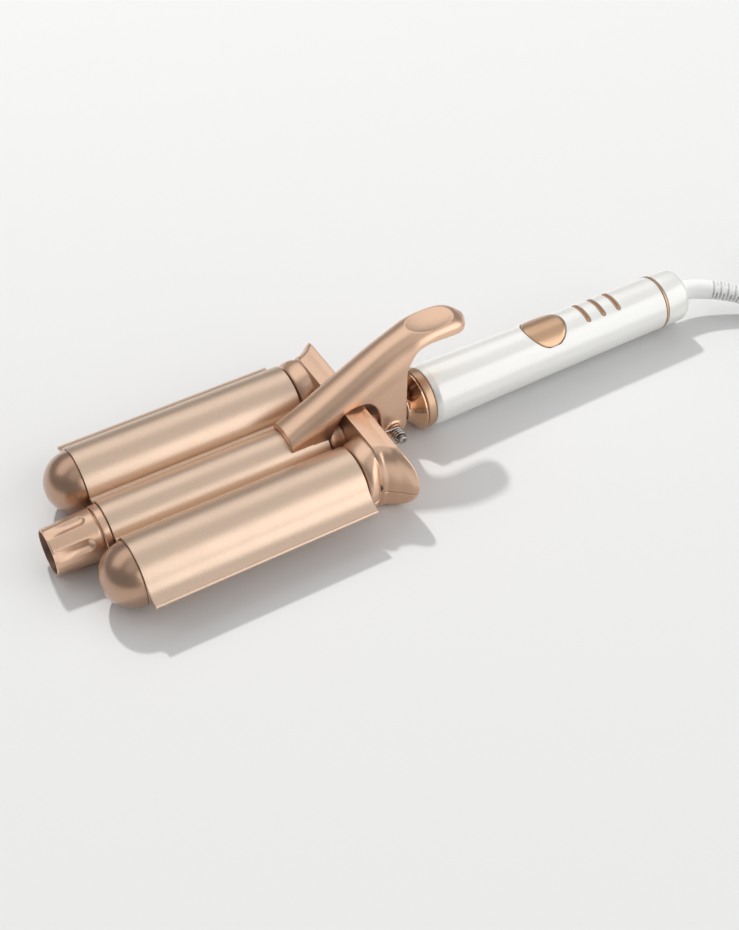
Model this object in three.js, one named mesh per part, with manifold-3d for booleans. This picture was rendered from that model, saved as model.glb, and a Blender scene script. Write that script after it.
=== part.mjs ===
// Three-barrel hair waver lying on its barrels, with its cord coiled beside it.
// Millimetres. +X runs from the barrel tips to the handle, +Y to the far side, +Z up, floor at z = 0.
// Stations along the tool are measured from the centres of the ball caps, and the whole model is
// then shifted so that the middle of the tool, cord left out, stands at the origin.
import * as THREE from 'three';
import { mergeVertices } from 'three/addons/utils/BufferGeometryUtils.js';
import Module from 'manifold-3d';

const wasm = await Module();
wasm.setup();

// Sides of round pieces: those that show, and those inside or small
const shownSides = 28;
const capSides = 24;
const hiddenSides = 16;
const smallSides = 12;

// Driving dimensions: barrels and clamp plate
const outerRadius = 16;
const middleRadius = 13;
const outerPitch = 33.5;
const barrelWall = 1.2;
const barrelLength = 114.6;
const plateOverhang = 0.4;
const plateThickness = 1;
const plateClearance = 0.4;
const valleyHeight = 19.4;
const flangeReach = 9.72;
const flangeHeight = 17.6;
const flangeBend = 12.4;
const flangeFlare = (28 * Math.PI) / 180;
const hemWidth = 1.4;
const hemThickness = 1.9;
const fitGap = 0.3;

// Driving dimensions: tips
const capWall = 1.6;
const capSpigotLength = 8;
const spreaderInset = 2;
const heaterHalfThickness = 1.6;
const insulatorSpigot = 10;
const collarLength = 3.7;
const collarProud = 0.3;
const tipGroove = 0.6;
const tipLength = 24.2;
const tipBaseRadius = 12.9;
const tipEndRadius = 11.7;
const tipWall = 2.1;
const tipRecessCount = 6;
const tipRecessDepth = 1.25;
const tipRecessRadius = 3.3;

// Driving dimensions: bracket that carries the barrels
const shoulderDepth = 8.1;
const bracketThickness = 11;
const bracketFrontHalf = 44.6;
const bracketRearHalf = 56.3;
const bracketWingFlare = 4.5;
const bracketRound = 10;
const bracketRoundGrowth = 3.5;
const wirewayDepth = 4.4;
const frontWall = 1.9;
const bracketTop = 36.8;
const bracketBottom = 0.4;
const bracketChannel = 1.1;
const insulatorFlange = 0.7;
const bracketScrewRadius = 1.4;
const screwHeadRadius = 2.7;

// Driving dimensions: neck, lever and pivot
const handleAxis = 16.4;
const neckRadius = 8.2;
const neckBore = 6.2;
const neckEngagement = 10.9;
const pivotSetback = 28;
const pivotZ = 13;
const pivotScrewRadius = 1.6;
const pivotBossRadius = 4.6;
const leverHalf = 11;
const leverWall = 1.8;
const leverFootReach = 57;
const leverThumbReach = 44.4;
const leverWebSetback = 7.7;
const archRoom = 9.4;
const archClearance = 2;
const washerThickness = 0.8;
const washerRadius = 4;
const springWire = 0.9;
const springRadius = 2.9;
const springTurns = 3.5;
const springPitch = 1.36;

// Driving dimensions: handle
const bellSetback = 9.6;
const bellLength = 7.9;
const bellRimRadius = 15.8;
const frontRingLength = 4.9;
const frontRingRadius = 15.9;
const ringGap = 0.35;
const handleFrontRadius = 16.3;
const handleRearRadius = 14.8;
const handleBow = 0.25;
const handleWall = 2.2;
const handleLength = 146;
const handleChamfer = 3.2;
const rearRingLength = 1.4;
const endCapLength = 14.4;
const endCapWall = 2.2;
const buttonSetback = 73.9;
const buttonRadius = 11.5;
const buttonGap = 0.45;
const buttonTravel = 0.8;
const buttonThickness = 2.4;
const windowSetback = 24.6;
const windowPitch = 9.7;
const windowWidth = 2.3;
const windowHalfLength = 7.5;
const windowCount = 3;
const trayWall = 1.6;
const boardEnd = 7;
const boardThickness = 1.6;

// Driving dimensions: strain relief, cord and plug
const reliefRadius = 5.4;
const reliefEndRadius = 4.6;
const cordRadius = 3;
const coilTurns = 10;
const coilLayers = 4;
const coilPitch = 6.75;
const coilMeanRadius = 34;
const coilSetback = 96.5;
const coilCentreY = -66;
const tieThickness = 0.8;
const tieWidth = 12;
const tailLead = 2;
const tailBend = 28;
const tailEnd = 6;
const plugLength = 36;
const plugHalfThickness = 6.8;
const plugCollarDrop = 2.4;
const pinRadius = 2;
const pinLength = 19;
const pinPitch = 18.6;

// Stations that follow from the driving dimensions
const collarFront = -collarLength - fitGap;
const tipRear = collarFront - tipGroove;
const tipFront = tipRear - tipLength;
const shoulderFront = barrelLength + insulatorFlange + 2 * fitGap;
const bracketFront = shoulderFront + shoulderDepth;
const bracketRear = bracketFront + bracketThickness;
const pivotX = bracketFront + pivotSetback;
const leverFront = pivotX - leverFootReach;
const leverRear = pivotX + leverThumbReach;
const leverWebRear = pivotX + leverWebSetback;
const archRadius = pivotSetback + archRoom;
const archTop = bracketTop + archClearance;
const bellFront = pivotX + bellSetback;
const bellRear = bellFront + bellLength;
const ringFront = bellRear + ringGap;
const ringRear = ringFront + frontRingLength;
const handleFront = ringRear + ringGap;
const handleRear = handleFront + handleLength;
const neckRear = handleFront + neckEngagement;
const buttonX = handleFront + buttonSetback;
const windowFirstX = buttonX + windowSetback;
const boardRear = windowFirstX + (windowCount - 1) * windowPitch + boardEnd;
const rearRingFront = handleRear + fitGap;
const endCapFront = rearRingFront + rearRingLength + fitGap;
const endCapRear = endCapFront + endCapLength;
const coilCentreX = endCapRear + coilSetback;
const middleAxis = middleRadius + collarProud;
const middleX = (tipFront + endCapRear) / 2;
const splitHeight = middleRadius;
const plateInnerOuter = outerRadius + plateClearance;
const plateInnerMiddle = middleRadius + plateClearance;
const plateOuterOuter = plateInnerOuter + plateThickness;
const plateOuterMiddle = plateInnerMiddle + plateThickness;
const plateLength = barrelLength + plateOverhang;
const flangeBendY = outerPitch + (plateOuterOuter + flangeBend) * Math.cos(flangeFlare);
const flangeHalfWidth = outerPitch + plateOuterOuter * Math.cos(flangeFlare) + flangeReach;
const buttonTopRadius = handleRadius(buttonX) + 0.25;

// Finishes
const finishes = {
  roseSheet: { color: 0xdcbfa6, roughness: 0.32, metalness: 0.85 },
  roseSatin: { color: 0xb58c74, roughness: 0.38, metalness: 0.7 },
  roseMirror: { color: 0xc08a66, roughness: 0.08, metalness: 1 },
  pearl: { color: 0xeeeeea, roughness: 0.3, metalness: 0 },
  whiteRubber: { color: 0xe9e9e7, roughness: 0.6, metalness: 0 },
  steel: { color: 0xb9bcc0, roughness: 0.3, metalness: 1 },
  aluminium: { color: 0xc9ccd0, roughness: 0.45, metalness: 1 },
  resin: { color: 0x3a322e, roughness: 0.6, metalness: 0 },
  ceramic: { color: 0xe4dfd6, roughness: 0.7, metalness: 0 },
  board: { color: 0x2f6b46, roughness: 0.6, metalness: 0 },
  clear: { color: 0xd8d2c8, roughness: 0.2, metalness: 0 },
};

const model = new THREE.Group();
const tool = new THREE.Group();
tool.position.x = -middleX;
model.add(tool);

function addPiece(name, shape, finish) {
  const solid = shape instanceof THREE.BufferGeometry ? toSolid(shape) : shape;
  const material = new THREE.MeshStandardMaterial(finishes[finish]);
  const mesh = new THREE.Mesh(toGeometry(solid), material);
  mesh.name = name;
  tool.add(mesh);
  return mesh;
}

// Closed mesh to solid: shared corners are merged and the faces are turned to look outwards
function toSolid(geometry) {
  const bare = geometry.clone();
  bare.deleteAttribute('normal');
  bare.deleteAttribute('uv');
  const merged = mergeVertices(bare, 1e-4);
  const points = merged.attributes.position.array;
  const corners = dropFlat(merged.index.array);
  if (signedVolume(points, corners) < 0) {
    turnOver(corners);
  }
  const mesh = new wasm.Mesh({
    numProp: 3,
    vertProperties: new Float32Array(points),
    triVerts: new Uint32Array(corners),
  });
  return new wasm.Manifold(mesh);
}

function dropFlat(index) {
  const kept = [];
  for (let i = 0; i < index.length; i += 3) {
    const [a, b, c] = [index[i], index[i + 1], index[i + 2]];
    if (a !== b && b !== c && c !== a) {
      kept.push(a, b, c);
    }
  }
  return kept;
}

function signedVolume(points, index) {
  const [a, b, c] = [new THREE.Vector3(), new THREE.Vector3(), new THREE.Vector3()];
  let total = 0;
  for (let i = 0; i < index.length; i += 3) {
    a.fromArray(points, index[i] * 3);
    b.fromArray(points, index[i + 1] * 3);
    c.fromArray(points, index[i + 2] * 3);
    total += a.dot(b.cross(c)) / 6;
  }
  return total;
}

function turnOver(index) {
  for (let i = 0; i < index.length; i += 3) {
    const kept = index[i + 1];
    index[i + 1] = index[i + 2];
    index[i + 2] = kept;
  }
}

function toGeometry(solid) {
  const mesh = solid.getMesh();
  const geometry = new THREE.BufferGeometry();
  geometry.setAttribute('position', new THREE.BufferAttribute(new Float32Array(mesh.vertProperties), 3));
  geometry.setIndex(new THREE.BufferAttribute(new Uint32Array(mesh.triVerts), 1));
  geometry.computeVertexNormals();
  return geometry;
}

// Turned solid about a line along X at (y, z), from [station, radius] pairs that close on themselves
function turned(profile, y, z, segments = shownSides) {
  const points = profile.map(([station, radius]) => new THREE.Vector2(radius, station));
  points.push(points[0].clone());
  const geometry = new THREE.LatheGeometry(points, segments);
  geometry.rotateZ(-Math.PI / 2);
  geometry.translate(0, y, z);
  return toSolid(geometry);
}

// Plain tube or rod along X
function rod(x0, x1, radius, y, z, bore = 0, segments = shownSides) {
  const profile = [[x0, bore], [x0, radius], [x1, radius], [x1, bore]];
  return turned(profile, y, z, segments);
}

// Upright rod along Z
function post(x, y, z0, z1, radius, segments = smallSides) {
  const geometry = new THREE.CylinderGeometry(radius, radius, z1 - z0, segments);
  geometry.rotateX(Math.PI / 2);
  geometry.translate(x, y, (z0 + z1) / 2);
  return toSolid(geometry);
}

// Cross rod along Y
function crossRod(x, z, y0, y1, radius, segments = smallSides) {
  const geometry = new THREE.CylinderGeometry(radius, radius, y1 - y0, segments);
  geometry.translate(x, (y0 + y1) / 2, z);
  return toSolid(geometry);
}

function block(x0, x1, y0, y1, z0, z1) {
  const geometry = new THREE.BoxGeometry(x1 - x0, y1 - y0, z1 - z0);
  geometry.translate((x0 + x1) / 2, (y0 + y1) / 2, (z0 + z1) / 2);
  return toSolid(geometry);
}

// Outline in the YZ plane drawn out along X
function drawnAlongX(shape, x0, x1, curveSegments = 12) {
  const geometry = new THREE.ExtrudeGeometry(shape, { depth: x1 - x0, bevelEnabled: false, curveSegments });
  const turn = new THREE.Matrix4().set(0, 0, 1, x0, 1, 0, 0, 0, 0, 1, 0, 0, 0, 0, 0, 1);
  geometry.applyMatrix4(turn);
  return toSolid(geometry);
}

// Outline in the XZ plane drawn out along Y, equally to both sides
function drawnAlongY(shape, halfWidth, curveSegments = 12) {
  const depth = 2 * halfWidth;
  const geometry = new THREE.ExtrudeGeometry(shape, { depth, bevelEnabled: false, curveSegments });
  geometry.rotateX(Math.PI / 2);
  geometry.translate(0, halfWidth, 0);
  return toSolid(geometry);
}

// Outline in the XY plane drawn up along Z
function drawnUp(shape, z0, z1, curveSegments = 12) {
  const geometry = new THREE.ExtrudeGeometry(shape, { depth: z1 - z0, bevelEnabled: false, curveSegments });
  geometry.translate(0, 0, z0);
  return toSolid(geometry);
}

// Skin through a row of rings, each with the same number of points. Its ends are closed by a fan, or
// zipped between the points that face each other where the rings mirror.
function lofted(rings, zipped = false) {
  const count = rings[0].length;
  const positions = [];
  rings.forEach((ring) => ring.forEach((point) => positions.push(point.x, point.y, point.z)));
  const index = [];
  for (let i = 0; i + 1 < rings.length; i += 1) {
    for (let j = 0; j < count; j += 1) {
      const next = (j + 1) % count;
      const [a, b] = [i * count + j, i * count + next];
      const [c, d] = [a + count, b + count];
      index.push(a, b, d, a, d, c);
    }
  }
  [0, rings.length - 1].forEach((end) => {
    const base = end * count;
    const face = zipped ? zippedFace(base, count) : fanFace(base, count, rings[end], positions);
    index.push(...(end === 0 ? face.reverse() : face));
  });
  const geometry = new THREE.BufferGeometry();
  geometry.setAttribute('position', new THREE.Float32BufferAttribute(positions, 3));
  geometry.setIndex(index);
  return geometry;
}

function fanFace(base, count, ring, positions) {
  const centre = new THREE.Vector3();
  ring.forEach((point) => centre.addScaledVector(point, 1 / count));
  const hub = positions.length / 3;
  positions.push(centre.x, centre.y, centre.z);
  const corners = Array.from({ length: count }, (_, j) => [hub, base + j, base + ((j + 1) % count)]);
  return corners.flat();
}

function zippedFace(base, count) {
  const face = [];
  for (let j = 0; j < count / 2; j += 1) {
    const [a, b] = [j, j + 1];
    const [c, d] = [count - j - 1, (count - j) % count];
    if (a !== d) {
      face.push(base + d, base + a, base + b);
    }
    if (b !== c) {
      face.push(base + d, base + b, base + c);
    }
  }
  return face;
}

function handleRadius(x) {
  const share = (x - handleFront) / handleLength;
  const straight = handleFrontRadius + (handleRearRadius - handleFrontRadius) * share;
  return straight - handleBow * Math.sin(Math.PI * share);
}

// A value that runs smoothly through [station, value] pairs
function along(pairs, x) {
  const last = pairs.length - 1;
  if (x <= pairs[0][0]) {
    return pairs[0][1];
  }
  if (x >= pairs[last][0]) {
    return pairs[last][1];
  }
  const i = pairs.findIndex((pair) => pair[0] > x) - 1;
  const [x0, v0] = pairs[i];
  const [x1, v1] = pairs[i + 1];
  const before = i > 0 ? pairs[i - 1] : pairs[i];
  const after = i + 2 <= last ? pairs[i + 2] : pairs[i + 1];
  const slope0 = (v1 - before[1]) / (x1 - before[0]);
  const slope1 = (after[1] - v0) / (after[0] - x0);
  const t = (x - x0) / (x1 - x0);
  const span = x1 - x0;
  const [t2, t3] = [t * t, t * t * t];
  const ends = (2 * t3 - 3 * t2 + 1) * v0 + (3 * t2 - 2 * t3) * v1;
  return ends + (t3 - 2 * t2 + t) * span * slope0 + (t3 - t2) * span * slope1;
}

// Barrels: thin tubes with a ball cap on each outer one
function barrelTube(y, z, radius) {
  return rod(0, barrelLength, radius, y, z, radius - barrelWall);
}

function ballCap(y) {
  const profile = [];
  const steps = 5;
  const inner = outerRadius - capWall;
  for (let i = 0; i <= steps; i += 1) {
    const angle = (Math.PI / 2) * (i / steps);
    profile.push([-fitGap - outerRadius * Math.cos(angle), outerRadius * Math.sin(angle)]);
  }
  const spigot = outerRadius - barrelWall - fitGap;
  profile.push([-fitGap, spigot]);
  profile.push([capSpigotLength, spigot]);
  profile.push([capSpigotLength, spigot - capWall]);
  profile.push([-fitGap, spigot - capWall]);
  for (let i = 2; i >= 0; i -= 1) {
    const angle = (Math.PI / 3) * (i / 2);
    profile.push([-fitGap - inner * Math.cos(angle), inner * Math.sin(angle)]);
  }
  return turned(profile, y, outerRadius, capSides);
}

// Cool tip: a hollow tapered grip with long finger recesses that fade towards its open end
function coolTip() {
  const bore = (radius) => radius - tipWall;
  const spigot = middleRadius - barrelWall - fitGap;
  const profile = [
    [tipFront + 0.5, tipEndRadius - 1],
    [tipFront, tipEndRadius - 0.7],
    [tipFront + 0.5, tipEndRadius],
    [tipRear - 1, tipBaseRadius],
    [tipRear, tipBaseRadius - 0.6],
    [tipRear, spigot],
    [capSpigotLength, spigot],
    [capSpigotLength, 0],
    [tipRear - 3, 0],
    [tipRear - 3, bore(tipBaseRadius)],
    [tipFront + 2, bore(tipEndRadius)],
  ];
  const body = turned(profile, 0, middleAxis);
  const cutters = [];
  for (let i = 0; i < tipRecessCount; i += 1) {
    cutters.push(tipRecess((i / tipRecessCount) * 2 * Math.PI + Math.PI / 2));
  }
  return body.subtract(wasm.Manifold.union(cutters));
}

// One recess: a round-ended scoop that runs out at the open end of the tip
function tipRecess(angle) {
  const length = tipLength - 6;
  const start = tipRear - 3 - tipRecessRadius;
  const geometry = new THREE.CapsuleGeometry(tipRecessRadius, length, 3, 8);
  geometry.rotateZ(Math.PI / 2);
  geometry.translate(-length / 2, 0, 0);
  geometry.rotateY(-0.09);
  geometry.translate(start, 0, tipBaseRadius + tipRecessRadius - tipRecessDepth);
  geometry.rotateX(angle - Math.PI / 2);
  geometry.translate(0, 0, middleAxis);
  return toSolid(geometry);
}

function tipCollar() {
  const inner = middleRadius - barrelWall;
  const outer = middleRadius + collarProud;
  const profile = [
    [collarFront, inner],
    [collarFront, outer - 0.5],
    [collarFront + 0.5, outer],
    [-fitGap, outer],
    [-fitGap, inner],
  ];
  return turned(profile, 0, middleAxis);
}

// Heating parts inside a barrel: a drawn heat spreader with a slot along it for a flat heater
function heatSpreader(y, z, radius) {
  const outer = radius - barrelWall - fitGap;
  const [halfWidth, halfHeight] = [heaterHalfWidth(radius) + fitGap, heaterHalfThickness + fitGap];
  const [x0, x1] = [capSpigotLength + spreaderInset, barrelLength - insulatorSpigot - spreaderInset];
  const round = rod(x0, x1, outer, y, z, 0, hiddenSides);
  return round.subtract(block(x0 - 1, x1 + 1, y - halfWidth, y + halfWidth, z - halfHeight, z + halfHeight));
}

function heaterHalfWidth(radius) {
  return radius - barrelWall - 4.5;
}

function flatHeater(y, z, radius) {
  const half = heaterHalfWidth(radius);
  const [x0, x1] = [capSpigotLength + 2 * spreaderInset, barrelLength - insulatorSpigot - 2 * spreaderInset];
  return block(x0, x1, y - half, y + half, z - heaterHalfThickness, z + heaterHalfThickness);
}

// Heat-resistant plug between a barrel's rear end and the bracket
function barrelInsulator(y, z, radius) {
  const spigot = radius - barrelWall - fitGap;
  const flangeFront = barrelLength + fitGap;
  const flangeRear = flangeFront + insulatorFlange;
  const seat = radius - 4;
  const bore = 3;
  const profile = [
    [barrelLength - insulatorSpigot, bore],
    [barrelLength - insulatorSpigot, spigot],
    [flangeFront, spigot],
    [flangeFront, radius - 0.4],
    [flangeRear, radius - 0.4],
    [flangeRear, seat],
    [bracketFront + frontWall - fitGap, seat],
    [bracketFront + frontWall - fitGap, bore],
  ];
  return turned(profile, y, z, smallSides);
}

// Clamp plate: one bent sheet with an arch over each barrel, two valleys and two flared flanges
function plateOutline() {
  const outer = [];
  const arc = (cy, cz, radius, from, to, steps) => {
    for (let i = 0; i <= steps; i += 1) {
      const angle = from + ((to - from) * i) / steps;
      outer.push(new THREE.Vector2(cy + radius * Math.cos(angle), cz + radius * Math.sin(angle)));
    }
  };
  const middleEnd = Math.asin((valleyHeight - middleAxis) / plateOuterMiddle);
  arc(0, middleAxis, plateOuterMiddle, Math.PI / 2, middleEnd, 8);
  const outerStart = Math.PI - Math.asin((valleyHeight - outerRadius) / plateOuterOuter);
  arc(outerPitch, outerRadius, plateOuterOuter, outerStart, flangeFlare, 14);
  const bendLeft = Math.max(0, (flangeBendY - flangeHalfWidth) / flangeBend);
  const bendEnd = Math.PI + Math.acos(bendLeft);
  arc(flangeBendY, flangeHeight + flangeBend, flangeBend, Math.PI + flangeFlare, bendEnd, 5);
  if (flangeHalfWidth > flangeBendY) {
    outer.push(new THREE.Vector2(flangeHalfWidth, flangeHeight));
  }
  return outer;
}

// The sheet's other face lies one thickness inside, square to the outline at each point
function offsetInwards(points, distance) {
  return points.map((point, i) => {
    const before = points[Math.max(i - 1, 0)];
    const after = points[Math.min(i + 1, points.length - 1)];
    const run = after.clone().sub(before).normalize();
    const across = i === 0 ? new THREE.Vector2(0, -1) : new THREE.Vector2(run.y, -run.x);
    const inward = across.y > 0 && i !== 0 ? across.negate() : across;
    return point.clone().addScaledVector(inward, distance);
  });
}

function clampPlate() {
  const half = plateOutline();
  const lower = half.map((point, i) => plateInnerPoint(point, i, half));
  const mirrored = (points) => points.slice(1).map((p) => new THREE.Vector2(-p.x, p.y)).reverse();
  const top = [...mirrored(half), ...half];
  const bottom = [...mirrored(lower), ...lower].reverse();
  const sheet = drawnAlongX(new THREE.Shape([...top, ...bottom]), 0, plateLength);
  const hems = [1, -1].map((side) => hem(side));
  const rivetHoles = rivetStations().map((x) => post(x, 0, 20, 34, rivetRadius() + fitGap));
  return sheet.add(hems[0]).add(hems[1]).subtract(wasm.Manifold.union(rivetHoles));
}

function plateInnerPoint(point, i, half) {
  const [y, z] = [point.x, point.y];
  const fromMiddle = new THREE.Vector2(y, z - middleAxis);
  if (Math.abs(fromMiddle.length() - plateOuterMiddle) < 0.01) {
    fromMiddle.setLength(plateInnerMiddle);
    return new THREE.Vector2(fromMiddle.x, fromMiddle.y + middleAxis);
  }
  const fromOuter = new THREE.Vector2(y - outerPitch, z - outerRadius);
  if (Math.abs(fromOuter.length() - plateOuterOuter) < 0.01) {
    fromOuter.setLength(plateInnerOuter);
    return new THREE.Vector2(fromOuter.x + outerPitch, fromOuter.y + outerRadius);
  }
  return offsetInwards(half, plateThickness)[i];
}

// Rolled edge along each flange
function hem(side) {
  const edge = side * (flangeHalfWidth - hemWidth / 2);
  const low = flangeHeight - plateThickness / 2 - hemThickness / 2;
  const shape = new THREE.Shape();
  const [halfWidth, halfHeight] = [hemWidth / 2, hemThickness / 2];
  shape.absellipse(edge, low + halfHeight, halfWidth, halfHeight, 0, 2 * Math.PI);
  return drawnAlongX(shape, 0, plateLength, 5);
}

function rivetRadius() {
  return 1.6;
}

function rivetStations() {
  return [leverFront + 6, leverFront + 15];
}

// Squareness of the bracket's outline at its front and rear rims, above and below its middle
const upperSquareness = [2.15, 1.5];
const lowerSquareness = [5, 1.8];

// Bracket outline at one share of its depth, 0 at the front rim and 1 at the rear rim. It runs from
// the far end over the top to the near end and back below, with points in pairs above each other.
function bracketRing(share, inset) {
  const wingHalf = bracketFrontHalf + (bracketRearHalf - bracketFrontHalf) * share ** 1.2 - inset;
  const upper = THREE.MathUtils.lerp(...upperSquareness, share);
  const lower = THREE.MathUtils.lerp(...lowerSquareness, share);
  const roundWidth = bracketRound + bracketRoundGrowth * share;
  const middle = (bracketTop + bracketBottom) / 2;
  const height = (bracketTop - bracketBottom) / 2;
  const flatHalf = wingHalf - roundWidth;
  const [arcSteps, flatSteps] = [7, 4];
  const over = [];
  for (let i = 0; i <= arcSteps; i += 1) {
    const angle = (Math.PI / 2) * (i / arcSteps);
    const [out, rise] = [Math.max(0, Math.cos(angle)), Math.sin(angle)].map((v) => v ** (2 / upper));
    over.push([flatHalf + roundWidth * out, height * rise]);
  }
  for (let i = 1; i < flatSteps; i += 1) {
    over.push([flatHalf * (1 - (2 * i) / flatSteps), height]);
  }
  for (let i = arcSteps; i >= 0; i -= 1) {
    over.push([-over[i][0], over[i][1]]);
  }
  const under = over.slice(1, -1).reverse().map(([y, z]) => {
    const out = Math.abs(y) - flatHalf;
    return [out > 0 ? Math.sign(y) * (flatHalf + roundWidth * outwards(z / height, lower)) : y, z];
  });
  const place = (y, z) => {
    const reach = THREE.MathUtils.smoothstep(Math.abs(y), bracketRearHalf - 13, bracketRearHalf);
    const rear = bracketRear + bracketWingFlare * reach;
    const drop = z > 0 ? (inset * 0.4 * z) / height : 0;
    return new THREE.Vector3(bracketFront + (rear - bracketFront) * share, y, middle + z - drop);
  };
  return [...over.map(([y, z]) => place(y, z)), ...under.map(([y, z]) => place(y, -z))];
}

// Reach of a rounded corner at one share of its height, for one squareness
function outwards(rise, squareness) {
  return Math.max(0, 1 - rise ** squareness) ** (1 / squareness);
}

// Whole bracket before it is split: crossbar with two wings, and a shoulder behind each barrel
function bracketBody() {
  const shares = [[0, 0.3], [0.04, 0], [0.5, bracketChannel], [0.96, 0], [1, 0.4]];
  let body = toSolid(lofted(shares.map(([share, inset]) => bracketRing(share, inset)), true));
  barrelPlaces().forEach(([y, z, radius]) => {
    const full = radius - 0.2;
    const shoulder = y === 0 ? turned(shoulderProfile(full), y, z, hiddenSides) : outerShoulder(Math.sign(y));
    body = body.add(shoulder);
    const seat = radius - 4 + fitGap;
    body = body.subtract(rod(shoulderFront - 1, bracketFront + frontWall, seat, y, z, 0, hiddenSides));
  });
  const wayFront = bracketFront + frontWall;
  const wayRear = wayFront + wirewayDepth;
  const neckSeat = rod(wayFront, bracketRear + 4, neckRadius + fitGap, 0, handleAxis, 0, hiddenSides);
  const wireway = block(wayFront, wayRear, -38, 38, splitHeight + 4, splitHeight + 15);
  return body.subtract(neckSeat).subtract(wireway);
}

// Rounded shoulder behind an outer barrel: it swells upwards and then tucks in behind the front rim.
// Each station has its share of the shoulder's depth, its reach outwards, inwards and upwards, and the
// squareness of its outline.
function outerShoulder(side) {
  const stations = [
    [0, -0.6, -0.6, -0.4, 2], [0.086, 0.2, 0.4, 0.6, 2], [0.309, 0.4, 0.8, 1.5, 2.2], [0.63, -0.6, 0.8, 2.4, 2.4],
    [0.877, -2.8, 0.8, 3, 2.5], [1.074, -6, 0.8, 3.4, 2.4],
  ];
  const sides = 24;
  const rings = stations.map(([share, out, inwards, up, power]) => Array.from({ length: sides }, (_, j) => {
    const angle = (j / sides) * 2 * Math.PI;
    const round = (v) => Math.sign(v) * Math.abs(v) ** (2 / power);
    const [across, rise] = [round(Math.cos(angle)), round(Math.sin(angle))];
    const reach = outerRadius + (across > 0 ? out : inwards);
    const height = rise > 0 ? outerRadius + up : outerRadius - bracketBottom;
    const x = shoulderFront + share * shoulderDepth;
    return new THREE.Vector3(x, side * (outerPitch + reach * across), outerRadius + height * rise);
  }));
  return toSolid(lofted(rings));
}

function shoulderProfile(full) {
  const rear = bracketFront + 1;
  return [
    [shoulderFront, 0],
    [shoulderFront, full - 1.3],
    [shoulderFront + 0.6, full - 0.5],
    [shoulderFront + 1.8, full],
    [rear, full],
    [rear, 0],
  ];
}

function barrelPlaces() {
  const outer = [outerPitch, -outerPitch].map((y) => [y, outerRadius, outerRadius]);
  return [...outer, [0, middleAxis, middleRadius]];
}

// Four screws hold the lower half of the bracket up to the upper half
function bracketScrewPlaces() {
  const x = bracketFront + 5.6;
  return [[x, 34], [x, 16], [x, -16], [x, -34]];
}

function bracketHalf(isUpper) {
  const body = bracketBody();
  const half = fitGap / 2;
  const far = 80;
  const [x0, x1] = [shoulderFront - 1, bracketRear + 20];
  const kept = isUpper
    ? block(x0, x1, -far, far, splitHeight + half, far)
    : block(x0, x1, -far, far, -far, splitHeight - half);
  const holes = bracketScrewPlaces().map(([x, y]) => {
    const shank = post(x, y, bracketBottom - 1, splitHeight + 3.4, bracketScrewRadius + fitGap);
    return shank.add(post(x, y, bracketBottom - 1, bracketBottom + 3.4, screwHeadRadius + fitGap));
  });
  return body.intersect(kept).subtract(wasm.Manifold.union(holes));
}

function bracketScrew(x, y) {
  const shank = post(x, y, bracketBottom + 2, splitHeight + 3.1, bracketScrewRadius, 8);
  const head = post(x, y, bracketBottom + 1, bracketBottom + 3.1, screwHeadRadius);
  const slot = block(x - 0.4, x + 0.4, y - 3, y + 3, bracketBottom, bracketBottom + 1.8);
  return head.add(shank).subtract(slot);
}

// Neck: a steel tube from the bracket into the handle, with a boss on each side for the pivot
function neckTube() {
  const neckFront = bracketFront + frontWall + wirewayDepth + fitGap;
  const tube = rod(neckFront, neckRear, neckRadius, 0, handleAxis);
  const bossEnd = leverHalf - leverWall - fitGap;
  const bosses = crossRod(pivotX, pivotZ, -bossEnd, bossEnd, pivotBossRadius, hiddenSides);
  const bore = rod(bracketFront + 2, neckRear + 1, neckBore, 0, handleAxis + 0.6, 0, hiddenSides);
  const hole = crossRod(pivotX, pivotZ, -20, 20, pivotScrewRadius + fitGap);
  return tube.add(bosses).subtract(bore).subtract(hole);
}

// Lever: a rounded channel that sweeps up from its foot on the plate to the thumb rest. The stations of
// its top, its half width and its crown are measured from the pivot.
const leverTop = [
  [-leverFootReach, 31.6], [-51, 34.6], [-43, 38.7], [-32, 44.7], [-22, 50.2], [-14, 54.6], [-3, 60.2],
  [8, 64.8], [14, 66.7], [20, 67.6], [28, 67.8], [35, 67.2], [40, 65.9], [leverThumbReach, 63.3],
];
const leverHalfWidth = [
  [-leverFootReach, leverHalf - 1], [-47, leverHalf - 0.9], [-37, leverHalf - 0.3], [-28, leverHalf],
  [8, leverHalf], [16, leverHalf - 0.3], [24, leverHalf - 0.6], [32, leverHalf - 0.8], [37, leverHalf - 1.3],
  [40.6, leverHalf - 2.7], [43, leverHalf - 5], [leverThumbReach, leverHalf - 7.4],
];
const leverCrown = [
  [-leverFootReach, 6.5], [-47, 8], [-36, 9.6], [-24, 10.6], [-2, 10.8], [8, 9.8], [15, 7.4], [23, 5.8],
  [34, 5], [leverThumbReach, 4],
];
const dishSetback = 25;
const dishDepth = 2.6;

function leverTopAt(x) {
  return along(leverTop, x - pivotX);
}

function leverRing(x, inset, steps) {
  const half = along(leverHalfWidth, x - pivotX) - inset;
  const top = leverTopAt(x) - inset;
  const crown = Math.min(along(leverCrown, x - pivotX), half) - inset * 0.3;
  const low = 2;
  const ring = [new THREE.Vector3(x, -half, low)];
  for (let i = 0; i <= steps; i += 1) {
    const angle = Math.PI - (Math.PI * i) / steps;
    ring.push(new THREE.Vector3(x, half * Math.cos(angle), top - crown + crown * Math.sin(angle)));
  }
  ring.push(new THREE.Vector3(x, half, low));
  return ring;
}

function leverStations(from, to, steps) {
  return Array.from({ length: steps + 1 }, (_, i) => from + ((to - from) * i) / steps);
}

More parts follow.
